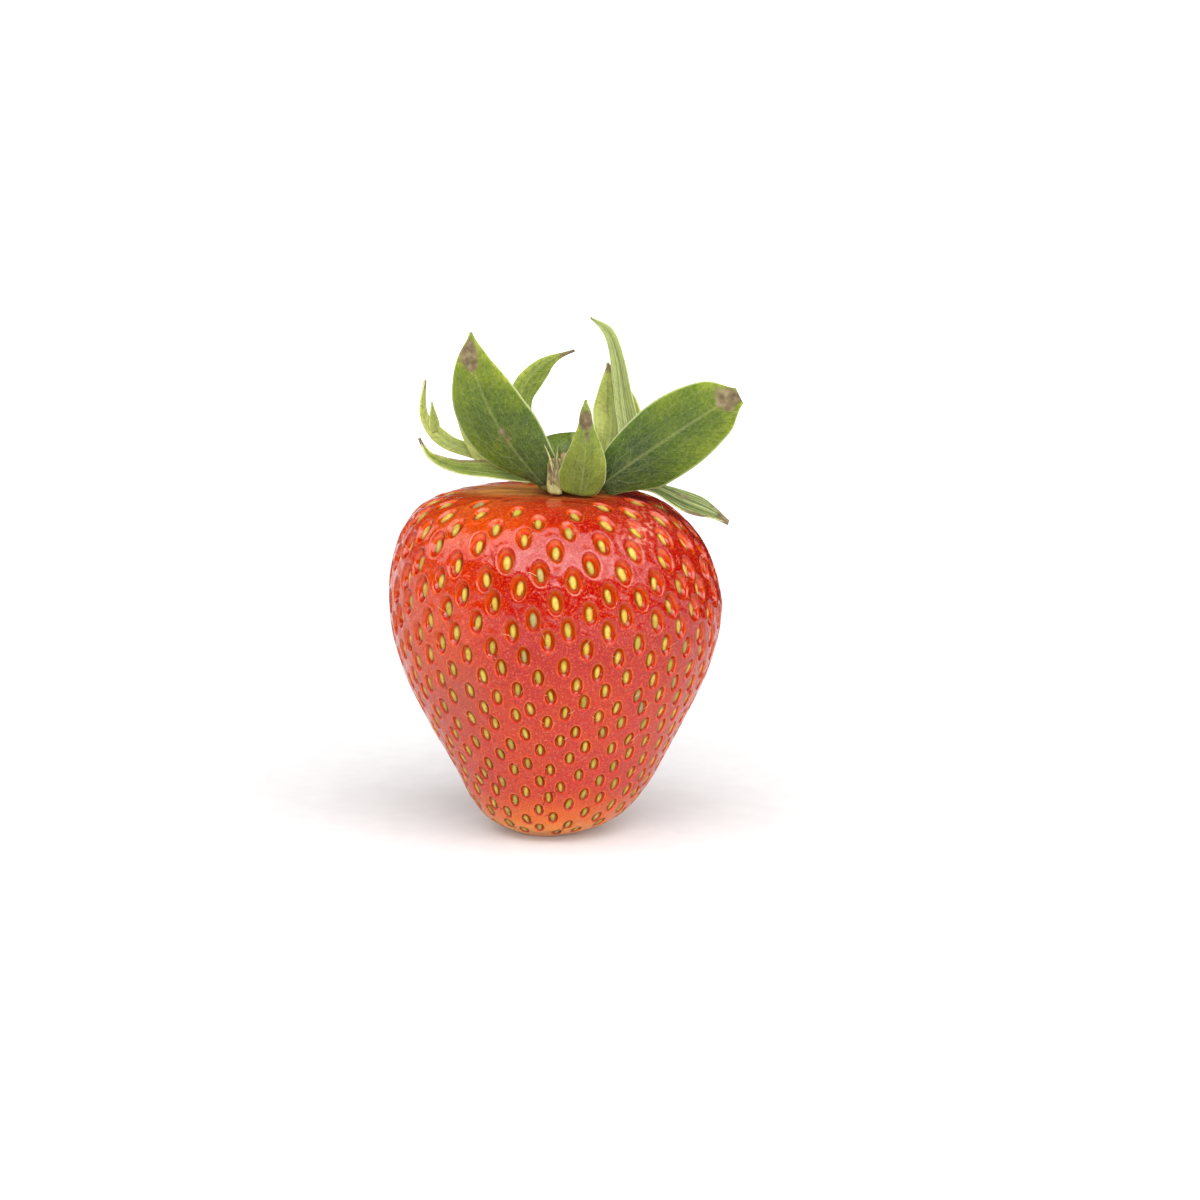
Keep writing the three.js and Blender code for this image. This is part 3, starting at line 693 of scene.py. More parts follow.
# %% Sepal rows
SEPALS = {
    "sepal_front_left": dict(
        spine=[(-0.8, -1.6, 42.2), (-4.0, -3.2, 46.5), (-6.6, -4.8, 51.2),
               (-8.3, -6.0, 56.1), (-8.7, -6.2, 60.4)],
        left=[0.9, 2.2, 3.5, 4.2, 4.3, 3.9, 2.9, 1.6, 0.1],
        right=[3.0, 3.6, 4.1, 4.3, 4.1, 3.7, 2.9, 1.6, 0.1],
        face=[(-0.3, -1, -0.1), (-0.1, -1, 0)], cup=-0.12, wave=0.16,
        green=(0.06, 0.66), pale=0.0, rib=0.14, stripe=0.05,
        spots=[(0.90, 0.075, -0.25, 0.85, 1.2), (0.85, 0.08, -0.12, 0.42, 1.2),
               (0.34, 0.18, 0.0, 0.40, 0.41)]),
    "sepal_front_right": dict(
        spine=[(6.5, -1.8, 42.1), (10.4, -3.7, 45.3), (14.6, -5.8, 48.5), (18.8, -7.6, 51.6),
               (22.0, -8.4, 53.4)],
        left=[1.9, 2.9, 3.6, 4.1, 4.4, 4.4, 4.0, 3.1, 1.0],
        right=[1.9, 3.1, 4.3, 4.5, 4.5, 4.3, 3.8, 3.0, 1.0],
        face=[(0.1, -1, 0.1), (0.1, -1, 0.2)], cup=-0.12, wave=0.14,
        green=(0.05, 0.60), pale=0.0, rib=0.18, stripe=0.05,
        spots=[(0.96, 0.11, -0.10, 0.75, 1.2)]),
    "sepal_front_small": dict(
        spine=[(3.8, -3.7, 41.3), (4.3, -5.3, 45.1), (4.5, -6.5, 48.8), (4.5, -7.0, 52.7)],
        left=[2.4, 2.8, 2.6, 2.3, 1.8, 1.4, 0.9, 0.65, 0.1],
        right=[2.1, 2.6, 2.6, 2.4, 1.9, 1.3, 0.8, 0.6, 0.1],
        face=[(0, -1, 0.3), (0, -1, 0)], cup=-0.25, wave=0.12,
        green=(0.50, 0.6), pale=0.08, rib=0.2, stripe=0.12,
        spots=[(0.80, 0.12, 0.0, 1.4, 1.0), (0.66, 0.16, 0.1, 0.3, 0.6),
               (0.35, 0.3, -0.2, 0.5, 0.36)]),
    "bract_left_low": dict(
        spine=[(-2.4, 1.1, 42.2), (-6.9, -0.6, 43.1), (-10.7, -1.6, 43.8),
               (-13.6, -1.9, 45.2), (-14.9, -1.8, 47.4)],
        left=[1.2, 1.3, 1.2, 1.1, 1.0, 0.8, 0.6, 0.3, 0.1],
        right=[1.2, 1.3, 1.2, 1.1, 1.0, 0.8, 0.6, 0.3, 0.1],
        face=[(0, -0.75, 0.65), (0.4, -0.9, 0.4)], cup=0.2, wave=0.08, fold=0.7,
        green=(0.25, 0.75), pale=0.1, rib=0.9, stripe=0.5,
        spots=[(0.99, 0.12, 0.0, 2.0, 0.9), (0.5, 0.45, 1.0, 0.22, 0.7)]),
    "sepal_left_forked": dict(
        spine=[(-2.4, 2.6, 42.6), (-7.5, 2.7, 44.6), (-12.0, 3.0, 46.2), (-14.5, 3.0, 49.4),
               (-14.35, 2.8, 53.5)],
        left=[1.4, 1.3, 1.1, 0.8, 0.8, 0.9, 0.7, 0.4, 0.1],
        right=[1.4, 1.3, 1.1, 0.9, 0.9, 0.9, 0.5, 0.35, 0.1],
        face=[(0.2, -0.9, 0.4), (0.5, -1, 0.1)], cup=0.1, wave=0.14,
        green=(0.9, 0.7), pale=0.30, rib=0.4, stripe=0.4, spots=[(0.97, 0.06, 0.0, 2.0, 0.6)]),
    "sepal_back_left": dict(
        spine=[(-0.7, 5.2, 42.8), (-2.9, 7.1, 47.5), (-3.2, 8.0, 51.2), (-0.6, 8.6, 54.6),
               (3.1, 9.0, 56.1)],
        left=[1.0, 1.0, 1.1, 1.2, 1.3, 1.2, 0.8, 0.35, 0.1],
        right=[1.0, 1.2, 1.3, 1.3, 1.5, 1.7, 1.4, 0.5, 0.1],
        face=[(0, -1, 0.2), (0.2, -1, 0.2)], cup=-0.15, wave=0.08,
        green=(0.5, 0.7), pale=0.05, rib=0.3, stripe=0.3, spots=[(1.0, 0.12, 0.0, 2.0, 1.0)]),
    "sepal_back_arch": dict(
        spine=[(2.9, 6.6, 42.2), (2.9, 7.1, 44.6), (2.9, 9.0, 46.0), (2.9, 11.2, 45.4),
               (2.9, 12.8, 43.2)],
        left=[2.6, 3.2, 3.7, 4.0, 4.0, 3.7, 3.0, 1.8, 0.2],
        right=[2.6, 3.2, 3.7, 4.0, 4.0, 3.7, 3.0, 1.8, 0.2],
        face=[(0, 1, 0), (0, -0.4, -1)], cup=0.2, wave=0.12,
        green=(0.35, 0.45), pale=0.0, rib=0.3, stripe=0.1, spots=[]),
    "sepal_back_broad": dict(
        spine=[(6.2, 5.5, 42.4), (8.0, 6.4, 45.8), (8.0, 7.3, 50.0), (7.0, 7.0, 54.9)],
        left=[1.3, 2.0, 2.5, 2.8, 2.9, 2.7, 2.0, 1.1, 0.1],
        right=[1.3, 2.0, 2.5, 2.8, 2.9, 2.5, 1.8, 1.0, 0.1],
        face=[(0.1, -1, 0.1), (0, -1, 0)], cup=0.15, wave=0.14,
        green=(0.7, 0.9), pale=0.3, rib=0.3, stripe=0.5,
        spots=[(0.98, 0.08, 0.0, 2.0, 0.8), (0.80, 0.14, 0.2, 0.4, 0.42),
               (0.6, 0.12, -0.5, 0.3, 0.44)]),
    "bract_back_tall": dict(
        spine=[(7.3, 3.7, 42.4), (9.3, 4.9, 46.2), (8.9, 5.7, 50.5), (8.1, 5.9, 55.6),
               (7.0, 5.7, 58.7), (5.0, 5.4, 60.5)],
        left=[1.0, 1.1, 1.15, 1.15, 1.05, 0.95, 0.75, 0.5, 0.1],
        right=[1.0, 1.2, 1.2, 1.2, 1.0, 0.9, 0.8, 0.7, 0.1],
        face=[(0.1, -1, 0.1), (0, -1, 0.2)], cup=0.1, wave=0.08, fold=0.35,
        green=(0.4, 0.35), pale=0.4, rib=0.7, stripe=1.0, spots=[(1.0, 0.03, 0.0, 2.0, 0.8)]),
    "bract_right_low": dict(
        spine=[(7.7, -0.2, 41.8), (12.0, -0.2, 41.3), (15.7, -1.4, 39.8), (19.0, -2.2, 38.6),
               (21.0, -2.2, 37.4)],
        left=[0.8, 0.9, 1.0, 1.0, 1.2, 1.3, 1.3, 0.9, 0.5],
        right=[0.9, 1.1, 1.3, 1.5, 1.7, 1.8, 1.6, 0.9, 0.3],
        face=[(0.1, -0.5, 0.9), (0.3, -0.6, 0.7)], cup=0.1, wave=0.22, fold=0.25,
        green=(0.06, 0.12), pale=0.10, rib=0.5, stripe=1.0,
        spots=[(1.0, 0.14, 0.0, 2.0, 1.1), (0.55, 0.20, -0.4, 0.35, 0.55),
               (0.75, 0.22, 0.9, 0.25, 0.7), (0.85, 0.1, -0.8, 0.3, 0.6)]),
    "sepal_back_right": dict(
        spine=[(7.6, 1.8, 41.6), (10.8, 2.8, 42.3), (13.4, 4.4, 43.0), (15.6, 6.2, 42.8)],
        left=[0.8, 1.2, 1.7, 2.0, 2.1, 1.9, 1.4, 0.8, 0.1],
        right=[0.8, 1.2, 1.7, 2.0, 2.1, 1.9, 1.4, 0.8, 0.1],
        face=[(0, 0.1, 1), (0.2, 0.2, 1)], cup=0.15, wave=0.12,
        green=(0.3, 0.6), pale=0.1, rib=0.3, stripe=0.3, spots=[]),
}
FORK = dict(
    spine=[(-13.2, 3.0, 47.3), (-13.45, 3.0, 48.8), (-13.6, 2.9, 50.9)],
    left=[0.5, 0.7, 0.45, 0.25, 0.05],
    right=[0.5, 0.7, 0.55, 0.3, 0.05],
    face=[(0.5, -1, 0.1), (0.5, -1, 0.1)], cup=0,
    green=(0.7, 0.7), pale=0.25, rib=0.2, stripe=0.4, spots=[(0.95, 0.1, 0.0, 2.0, 0.5)])
SPUR = dict(
    spine=[(-5.4, 2.3, 43.2), (-8.0, 2.4, 45.0), (-9.6, 2.5, 47.0), (-10.5, 2.6, 48.6)],
    left=[1.3, 1.4, 0.9, 0.5, 0.1],
    right=[1.6, 1.6, 1.2, 0.7, 0.1],
    face=[(0.1, -0.9, 0.4), (0.2, -1, 0.2)], cup=0.1,
    green=(0.85, 0.9), pale=0.35, rib=0.2, stripe=0.4, spots=[])
BLADE_ROWS = 60
BLADE_COLUMNS = 24
PHASE_STEP = 1.7  # moves the waves and veins from one blade to the next
VEIN_SHIFT = 7
EDGE_GREEN = 0.22
GREEN_SHIFT = 0.05
DRY_POWER = 1.4
DRY_SHARPNESS = 1.5


def dry_amount(along, across, spots):
    """How dried up the blade is at each point, from 0 to 1."""
    dry = np.zeros_like(along)
    for place, half_length, over, half_width, strength in spots:
        gap = np.abs((along - place) / half_length) ** DRY_POWER
        gap = gap + np.abs((across - over) / half_width) ** DRY_POWER
        dry = np.maximum(dry, strength * np.exp(-(gap**DRY_SHARPNESS)))
    return dry


def blade_part(row, phase, rows=BLADE_ROWS, columns=BLADE_COLUMNS, rooted=True):
    """Points, faces and values of one sepal row."""
    sheet, along, across, reach_out, length = blade_grid(
        *(row[key] for key in ("spine", "left", "right", "face", "cup")), rows, columns,
        fold=row.get("fold", 0), wave=row.get("wave", 0), phase=phase)
    if rooted:
        sheet, along, across, reach_out = grow_root(sheet, along, across, reach_out, length)
    points, faces, values = blade_solid(sheet, along, across)
    root_green, tip_green = row["green"]
    green = root_green + (tip_green - root_green) * values["along"]
    values["green"] = green + EDGE_GREEN * values["across"] ** 2 - GREEN_SHIFT
    values["mm_out"] = np.tile(reach_out.ravel(), 2)
    values["mm_up"] = values["along"] * length + phase * VEIN_SHIFT
    for value in ("pale", "rib", "stripe"):
        values[value] = np.full(len(points), row[value])
    values["dry"] = dry_amount(values["along"], values["across"], row["spots"])
    return points, faces, values


def add_blades(name, parts):
    """One object from the points, faces and values of its parts."""
    points, faces = join_parts([(p, f) for p, f, _ in parts])
    piece = add_piece(name, points * MM, faces)
    for value in parts[0][2]:
        add_values(piece, value, np.concatenate([values[value] for _, _, values in parts]))
    return piece


blades = {}
for order, (node, row) in enumerate(SEPALS.items()):
    parts = [blade_part(row, order * PHASE_STEP)]
    if node == "sepal_left_forked":
        parts.append(blade_part(FORK, 0.0, rows=14, columns=8, rooted=False))
        parts.append(blade_part(SPUR, 0.3, rows=20, columns=10, rooted=False))
    blades[node] = add_blades("blade_" + node, parts)
print(len(blades), "sepals,", sum(len(b.data.polygons) for b in blades.values()), "faces")

# %% [markdown]
# ## The torn bract
# One bract in front lost its tip and frayed into dry fibres. It is the same blade up to the
# tear, and above it a bundle of stiff threads of uneven length.

# %% Torn bract
TORN = dict(
    spine=[(0.75, -2.6, 41.2), (0.75, -2.9, 43.4), (0.75, -3.2, 45.2)],
    left=[0.9, 0.9, 0.85, 0.8, 0.6],
    right=[0.9, 0.9, 0.85, 0.8, 0.7],
    face=[(-0.3, -1, 0.3), (-0.2, -1, 0)], cup=-0.3, wave=0.1,
    green=(0.7, 0.9), pale=0.8, rib=0.2, stripe=0.6, spots=[(1.0, 0.35, 0.0, 3.0, 0.4)])
FIBRES = 15
FIBRE_SPREAD = 0.8  # from -0.8 to 0.8 across the blade
FIBRE_RADII = 0.14 * np.array([0.8, 1, 1, 0.95, 0.8, 0.6, 0.4])
FIBRE_HEIGHTS = (2.2, 3.6)
LONG_FIBRES = (4, 5)
LONG_HEIGHT = 4.7

torn_parts = [blade_part(TORN, 0.4, rows=20, columns=8)]
for k in range(FIBRES):
    over = -FIBRE_SPREAD + 2 * FIBRE_SPREAD * k / (FIBRES - 1)
    start = np.array([0.85 + 0.95 * over, -3.25 + 0.3 * over**2, 42.4 + rng.uniform(-0.5, 0.8)])
    rise = np.array([-0.16 * over + rng.normal(0, 0.07), -0.1 + rng.normal(0, 0.08), 1.0])
    height = LONG_HEIGHT if k in LONG_FIBRES else rng.uniform(*FIBRE_HEIGHTS)
    steps_up = np.linspace(0, height, len(FIBRE_RADII) + 1)[:, None]
    line = start + steps_up * rise + steps_up**2 * [rng.normal(0, 0.03), 0, 0]
    points, faces = thread(line, FIBRE_RADII, sides=5)
    share = np.linspace(0.4, 1, len(points))
    none = np.zeros(len(points))
    torn_parts.append((points, faces, dict(
        along=share, across=none, mm_out=none, mm_up=share * 4 + k, green=share,
        pale=none + rng.uniform(0.6, 0.9), rib=none, stripe=none + 0.5,
        dry=share * rng.uniform(0.2, 1.0))))
blades["bract_front_torn"] = add_blades("blade_bract_front_torn", torn_parts)
print("torn bract ends in", FIBRES, "fibres")

# %% [markdown]
# ## The hub
# The sepals grow together into a low ribbed disc over the fruit's shoulder. It is turned
# like a lid, from the middle of its top out to its rim and in again below, and its radius
# and height ripple a little round the turn.

# %% Calyx hub
HUB_CENTRE = np.array([2.6, 1.6, 40.95])
HUB_RADIUS = 3.9
HUB_SIDE = [
    (0.05, 1.75), (1.1, 1.72), (2.3, 1.62), (3.2, 1.32), (3.85, 0.85), (HUB_RADIUS, 0.4),
    (3.3, 0.08), (0.05, 0.0)]
HUB_RIBS = 15
HUB_TURNS = 120
HUB_RINGS = 36

hub_rows = through(HUB_SIDE, np.linspace(0, 1, HUB_RINGS + 1))
hub_out, hub_up = hub_rows[:, :1], hub_rows[:, 1:]
hub_turn = 2 * np.pi * np.arange(HUB_TURNS) / HUB_TURNS
rib = 0.05 * np.cos(HUB_RIBS * hub_turn) + 0.04 * np.sin(7 * hub_turn + 1.0)
hub_radius = hub_out * (1 + rib * smooth_step(1.2, 3.6, hub_out) * 0.5)
hub_height = hub_up + 0.35 * rib * smooth_step(0.8, 3.0, hub_out) * (hub_up > 0.3)
hub_points = HUB_CENTRE + np.stack(
    [hub_radius * np.cos(hub_turn), hub_radius * np.sin(hub_turn), hub_height], axis=-1)
hub_faces = ring_faces(HUB_RINGS, HUB_TURNS)
hub_faces.append(tuple(range(HUB_TURNS)))
hub_faces.append(tuple(HUB_RINGS * HUB_TURNS + j for j in range(HUB_TURNS))[::-1])
hub = add_piece("calyx_disc", hub_points.reshape(-1, 3) * MM, hub_faces)
add_values(hub, "reach", np.repeat(hub_rows[:, 0] / HUB_RADIUS, HUB_TURNS))
add_values(hub, "rib", np.tile(rib, HUB_RINGS + 1) * 8)
print("hub is", round(hub_radius.max() * 2, 1), "mm wide")

# %% [markdown]
# ## The stem stub
# The stalk was snapped off above the hub, which leaves a short stub with a rough brown end.
# It is turned too. Grooves run up its side, and three sets of ripples make its end ragged.

# %% Stem stub
STUB_BASE = np.array([2.6, 1.6, 42.6])
STUB_SIDE = [
    (1.32, 0), (1.12, 0.35), (1.02, 0.9), (1.05, 1.6), (1.1, 2.05), (0.98, 2.25), (0.5, 2.12),
    (0.04, 2.0)]
STUB_TURNS = 48
STUB_RINGS = 28
CUT_FROM = 0.62  # share of the rings below the broken end

stub_rows = through(STUB_SIDE, np.linspace(0, 1, STUB_RINGS + 1))
stub_out, stub_up = stub_rows[:, :1], stub_rows[:, 1:]
stub_turn = 2 * np.pi * np.arange(STUB_TURNS) / STUB_TURNS
groove = 1 + 0.05 * np.cos(9 * stub_turn) + 0.02 * np.sin(5 * stub_turn)
ragged = 0.16 * np.sin(3 * stub_turn + 0.7) + 0.1 * np.sin(8 * stub_turn)
ragged = ragged + 0.06 * np.cos(13 * stub_turn)
stub_height = stub_up + ragged * smooth_step(1.4, 2.1, stub_up) * stub_out
stub_points = STUB_BASE + np.stack(
    [stub_out * groove * np.cos(stub_turn), stub_out * groove * np.sin(stub_turn), stub_height],
    axis=-1)
stub_faces = [tuple(range(STUB_TURNS))[::-1]] + ring_faces(STUB_RINGS, STUB_TURNS, climbing=True)
stub_faces.append(tuple(STUB_RINGS * STUB_TURNS + j for j in range(STUB_TURNS)))
stub = add_piece("stem_end", stub_points.reshape(-1, 3) * MM, stub_faces)
cut_rings = np.arange(STUB_RINGS + 1) / STUB_RINGS > CUT_FROM
add_values(stub, "cut", np.repeat(cut_rings.astype(float), STUB_TURNS))
print("stub stands", round(float(stub_height.max()), 2), "mm high")

# %% [markdown]
# ## Building materials from nodes
# A material is a small machine: numbers stored on the mesh and noise go in, colours and
# bumps come out. Short helpers keep it readable. They read a stored number, turn a number
# into a colour by stops, do one sum, or lay one colour over another.

# %% Node helpers
MIX_SHARE = 0  # sockets of the colour mix node
MIX_FIRST = 6
MIX_SECOND = 7
MIX_RESULT = 2
NOISE_LOW = 0.3  # most of a noise lies between these two
NOISE_HIGH = 0.7
WHITE = (1, 1, 1)


def new_material(name):
    material = bpy.data.materials.new(name)
    material.use_nodes = True
    tree = material.node_tree
    return material, tree, tree.nodes["Principled BSDF"]


def stored(tree, name):
    """The number that the mesh stores under this name."""
    node = tree.nodes.new("ShaderNodeAttribute")
    node.attribute_name = name
    return node.outputs["Fac"]


def noise(tree, scale, detail=3.0, rough=0.5, stretch=(1, 1, 1), source=None):
    """Noise over the object's own place; scale is in lumps per metre."""
    if source is None:
        source = tree.nodes.new("ShaderNodeTexCoord").outputs["Object"]
    mapping = tree.nodes.new("ShaderNodeMapping")
    mapping.inputs["Scale"].default_value = stretch
    tree.links.new(source, mapping.inputs["Vector"])
    node = tree.nodes.new("ShaderNodeTexNoise")
    node.inputs["Scale"].default_value = scale
    node.inputs["Detail"].default_value = detail
    node.inputs["Roughness"].default_value = rough
    tree.links.new(mapping.outputs["Vector"], node.inputs["Vector"])
    return node.outputs["Fac"]


def stops(tree, source, pairs, smooth=False):
    """Turns a number into a colour or grey by stops of (place, value)."""
    node = tree.nodes.new("ShaderNodeValToRGB")
    ramp = node.color_ramp
    if smooth:
        ramp.interpolation = "EASE"
    while len(ramp.elements) < len(pairs):
        ramp.elements.new(0.5)
    for element, (place, value) in zip(ramp.elements, pairs):
        element.position = place
        colour = value if isinstance(value, tuple) else (value, value, value)
        element.color = (*colour, 1)
    tree.links.new(source, node.inputs["Fac"])
    return node.outputs["Color"]


def between(tree, source, low, high):
    """A grey or colour that goes from low to high with a noise."""
    return stops(tree, source, [(NOISE_LOW, low), (NOISE_HIGH, high)])


def specks(tree, scale, start, full, share=1.0, detail=2):
    """Noise cut into specks: none below start, and the whole share from full."""
    return stops(tree, noise(tree, scale, detail=detail), [(start, 0.0), (full, share)])


def feed(tree, value, socket):
    """A number, a colour or another node's output goes into a socket."""
    if isinstance(value, bpy.types.NodeSocket):
        tree.links.new(value, socket)
    elif isinstance(value, tuple) and len(value) == 3:
        socket.default_value = (*value, 1)
    else:
        socket.default_value = value


def mix(tree, share, first, second):
    """Colour between first and second, by the share of the second."""
    node = tree.nodes.new("ShaderNodeMix")
    node.data_type = "RGBA"
    feed(tree, share, node.inputs[MIX_SHARE])
    feed(tree, first, node.inputs[MIX_FIRST])
    feed(tree, second, node.inputs[MIX_SECOND])
    return node.outputs[MIX_RESULT]


def maths(tree, kind, first, second=0.0, clamp=False):
    """One sum on numbers or sockets; clamp keeps its result from 0 to 1."""
    node = tree.nodes.new("ShaderNodeMath")
    node.operation = kind
    node.use_clamp = clamp
    feed(tree, first, node.inputs[0])
    feed(tree, second, node.inputs[1])
    return node.outputs[0]


def times(tree, first, second, clamp=False):
    return maths(tree, "MULTIPLY", first, second, clamp)


def plus(tree, first, second, clamp=False):
    return maths(tree, "ADD", first, second, clamp)


def minus(tree, first, second):
    return maths(tree, "SUBTRACT", first, second)


def centred(tree, source, strength):
    """A noise moved from 0..1 to lie round zero, times a strength."""
    return times(tree, minus(tree, source, 0.5), strength)


def tint(tree, colour, over, *shares):
    """The colour with another one laid over it, by the product of the shares."""
    share = shares[0]
    for factor in shares[1:]:
        share = times(tree, share, factor)
    return mix(tree, share, colour, over)


def bump(tree, height, distance, strength=1.0, below=None):
    """Tilts the surface as if it had this height, in metres of distance."""
    node = tree.nodes.new("ShaderNodeBump")
    node.inputs["Distance"].default_value = distance
    node.inputs["Strength"].default_value = strength
    tree.links.new(height, node.inputs["Height"])
    if below is not None:
        tree.links.new(below, node.inputs["Normal"])
    return node.outputs["Normal"]


print("node helpers ready")

# %% [markdown]
# ## The skin of the fruit
# Strawberry skin is wet-looking, thin and a little see-through, so light goes in, turns red
# and comes out again: that is subsurface scattering. Its low roughness gives sharp
# highlights, which lumps and fine wrinkles break up. The colour goes from crimson to orange
# with specks of both, and pale pink specks are painted glints. The walls of the pits get a
# deep red painted shade, darker in deeper pits. Round each seed lie a brown ring of painted
# contact shadow, an orange and a red ring. The bruise, the scuff and the tan neck come last,
# on top.

# %% Skin material
skin, tree, shader = new_material("strawberry_skin")
CRIMSON = (0.25, 0.0, 0.001)
ORANGE_RED = (0.350, 0.015, 0.0)
PALE_ORANGE = (0.410, 0.045, 0.001)
LOW_ORANGE = (0.43, 0.027, 0.001)
LOW_PINK = (0.41, 0.016, 0.009)
TIP_COLOUR = (0.72, 0.190, 0.006)
TIP_YELLOW = (0.66, 0.300, 0.030)
PIT_SHADE_RED = (0.27, 0.001, 0.0)
PIT_ORANGE = (0.52, 0.038, 0.001)
RING_RED = (0.48, 0.010, 0.0)
CONTACT_SHADOW_BROWN = (0.17, 0.028, 0.001)
HALO_ORANGE = (0.76, 0.175, 0.006)
SPECK_ORANGE = (0.50, 0.065, 0.001)
SPECK_RED = (0.20, 0.001, 0.0)
GLINT_PINK = (0.62, 0.17, 0.11)
NECK_TAN = (0.66, 0.27, 0.05)
BRUISE_GREY = (0.20, 0.06, 0.04)
SCUFF_PALE = (0.52, 0.21, 0.15)
RIPENESS_PATCHES = 0.9  # how much noise moves the border of the crimson
LOW_SHARE = 0.85
TIP_SHARE = 0.8
PIT_SHADE_PER_MM = 1.2  # per mm of the pit's depth
PIT_ORANGE_SHARE = 0.55
RING_SHARE = 0.25  # and RING_LOW_SHARE more low on the fruit
RING_LOW_SHARE = 0.60
HALO_SHARE = 0.26
HALO_LOW_SHARE = 0.50
CONTACT_SHADOW_SHARE = 0.85
BRUISE_SHARE = 0.35
RING_WOBBLE = 0.25
PIT_SPAN = 0.5  # places on a ramp end at 1, so distances are scaled down to fit
SEED_SPAN = 0.25
NECK_DULLNESS = 0.25
SCUFF_DULLNESS = 0.3
GROOVE_DEPTH = 0.00010
PIT_EDGE_DEPTH = 0.00016
LUMP_HEIGHT = 0.00030
WRINKLE_HEIGHT = 0.000032


def reach(tree, up_name, side_name, wobble):
    """Distance from the middle of a pit or seed; 1 at its rim."""
    up, side = stored(tree, up_name), stored(tree, side_name)
    squares = plus(tree, times(tree, up, up), times(tree, side, side))
    return plus(tree, maths(tree, "SQRT", squares), wobble)


patches = centred(tree, noise(tree, 90, detail=2), RIPENESS_PATCHES)
ripeness = plus(tree, stored(tree, "crimson"), patches)
colour = stops(tree, ripeness, [(0.0, PALE_ORANGE), (0.30, ORANGE_RED), (0.75, CRIMSON)])
low_colour = mix(tree, specks(tree, 210, 0.40, 0.60), LOW_ORANGE, LOW_PINK)
colour = tint(tree, colour, low_colour, stored(tree, "low"), LOW_SHARE)
colour = tint(tree, colour, TIP_COLOUR, stored(tree, "tip_pale"), TIP_SHARE)
very_tip = stops(tree, stored(tree, "tip_pale"), [(0.75, 0.0), (1.0, 0.65)])
colour = mix(tree, very_tip, colour, TIP_YELLOW)
off_tip = minus(tree, 1.0, stored(tree, "tip_pale"))
colour = tint(tree, colour, SPECK_RED, specks(tree, 4300, 0.44, 0.62, 0.60), off_tip)
colour = mix(tree, specks(tree, 5200, 0.50, 0.66, 0.50), colour, SPECK_ORANGE)
# Pale pink specks are painted glints on the skin.
colour = mix(tree, specks(tree, 3400, 0.57, 0.72, 0.35, detail=3), colour, GLINT_PINK)

wobble = centred(tree, noise(tree, 1300, detail=2), RING_WOBBLE)
pit_span = times(tree, reach(tree, "pit_up", "pit_side", wobble), PIT_SPAN)
seed_span = times(tree, reach(tree, "seed_up", "seed_side", wobble), SEED_SPAN)
near_seed = stored(tree, "near_seed")
# The walls of the pits get a deep red painted shade, darker in deeper pits.
shade_wall = stops(tree, pit_span, [(0.2, 0.4), (0.38, 1.0), (0.48, 0.9), (0.54, 0.0)], smooth=True)
depth = times(tree, stored(tree, "pit_depth"), PIT_SHADE_PER_MM)
pit_shade = times(tree, times(tree, shade_wall, near_seed), depth, clamp=True)
colour = mix(tree, pit_shade, colour, PIT_SHADE_RED)
inside = stops(tree, pit_span, [(0.30, 1.0), (0.44, 0.0)], smooth=True)
colour = tint(tree, colour, PIT_ORANGE, inside, near_seed, PIT_ORANGE_SHARE)
ring = stops(tree, seed_span, [(0.25, 1.0), (0.29, 0.0)], smooth=True)
ring_share = plus(tree, times(tree, stored(tree, "low"), RING_LOW_SHARE), RING_SHARE)
colour = tint(tree, colour, RING_RED, ring, near_seed, ring_share)
halo = stops(tree, seed_span, [(0.26, 0.0), (0.30, 1.0), (0.33, 0.8), (0.39, 0.0)], smooth=True)
halo_share = plus(tree, times(tree, stored(tree, "low"), HALO_LOW_SHARE), HALO_SHARE)
colour = tint(tree, colour, HALO_ORANGE, halo, near_seed, halo_share)
# A thin brown ring right round each seed is painted contact shadow.
contact_shadow = stops(tree, seed_span, [(0.17, 1.0), (0.19, 0.8), (0.225, 0.0)], smooth=True)
colour = tint(tree, colour, CONTACT_SHADOW_BROWN, contact_shadow, near_seed, CONTACT_SHADOW_SHARE)
colour = tint(tree, colour, BRUISE_GREY, stored(tree, "bruise"), BRUISE_SHARE)
scratches = specks(tree, 1500, 0.52, 0.58, 0.7, detail=3)
colour = tint(tree, colour, SCUFF_PALE, stored(tree, "scuff"), scratches)
tan_patches = stops(tree, noise(tree, 700), [(0.2, 0.75), (0.7, 1.0)])
colour = tint(tree, colour, NECK_TAN, stored(tree, "neck"), tan_patches)
tree.links.new(colour, shader.inputs["Base Color"])

rough = between(tree, noise(tree, 900, detail=3), 0.07, 0.15)
rough = plus(tree, rough, times(tree, stored(tree, "neck"), NECK_DULLNESS))
rough = plus(tree, rough, times(tree, stored(tree, "scuff"), SCUFF_DULLNESS), clamp=True)
tree.links.new(rough, shader.inputs["Roughness"])
shader.inputs["Subsurface Weight"].default_value = 0.25
shader.inputs["Subsurface Radius"].default_value = (1.0, 0.22, 0.12)
shader.inputs["Subsurface Scale"].default_value = 0.0007
shader.inputs["Specular IOR Level"].default_value = 0.5

groove = stops(tree, seed_span, [(0.20, 0.0), (0.23, 0.15), (0.30, 1.0)], smooth=True)
groove = mix(tree, near_seed, WHITE, groove)
pit_edge = stops(tree, pit_span, [(0.36, 0.0), (0.53, 1.0)], smooth=True)
pit_edge = mix(tree, near_seed, WHITE, pit_edge)
sockets = bump(tree, groove, GROOVE_DEPTH, 0.7, below=bump(tree, pit_edge, PIT_EDGE_DEPTH, 0.8))
lumps = bump(tree, noise(tree, 480, detail=1), LUMP_HEIGHT, 0.8, below=sockets)
wrinkles = bump(tree, noise(tree, 3600, detail=3), WRINKLE_HEIGHT, 1.0, below=lumps)
tree.links.new(wrinkles, shader.inputs["Normal"])
flesh.data.materials.append(skin)
print("skin has", len(tree.nodes), "nodes")

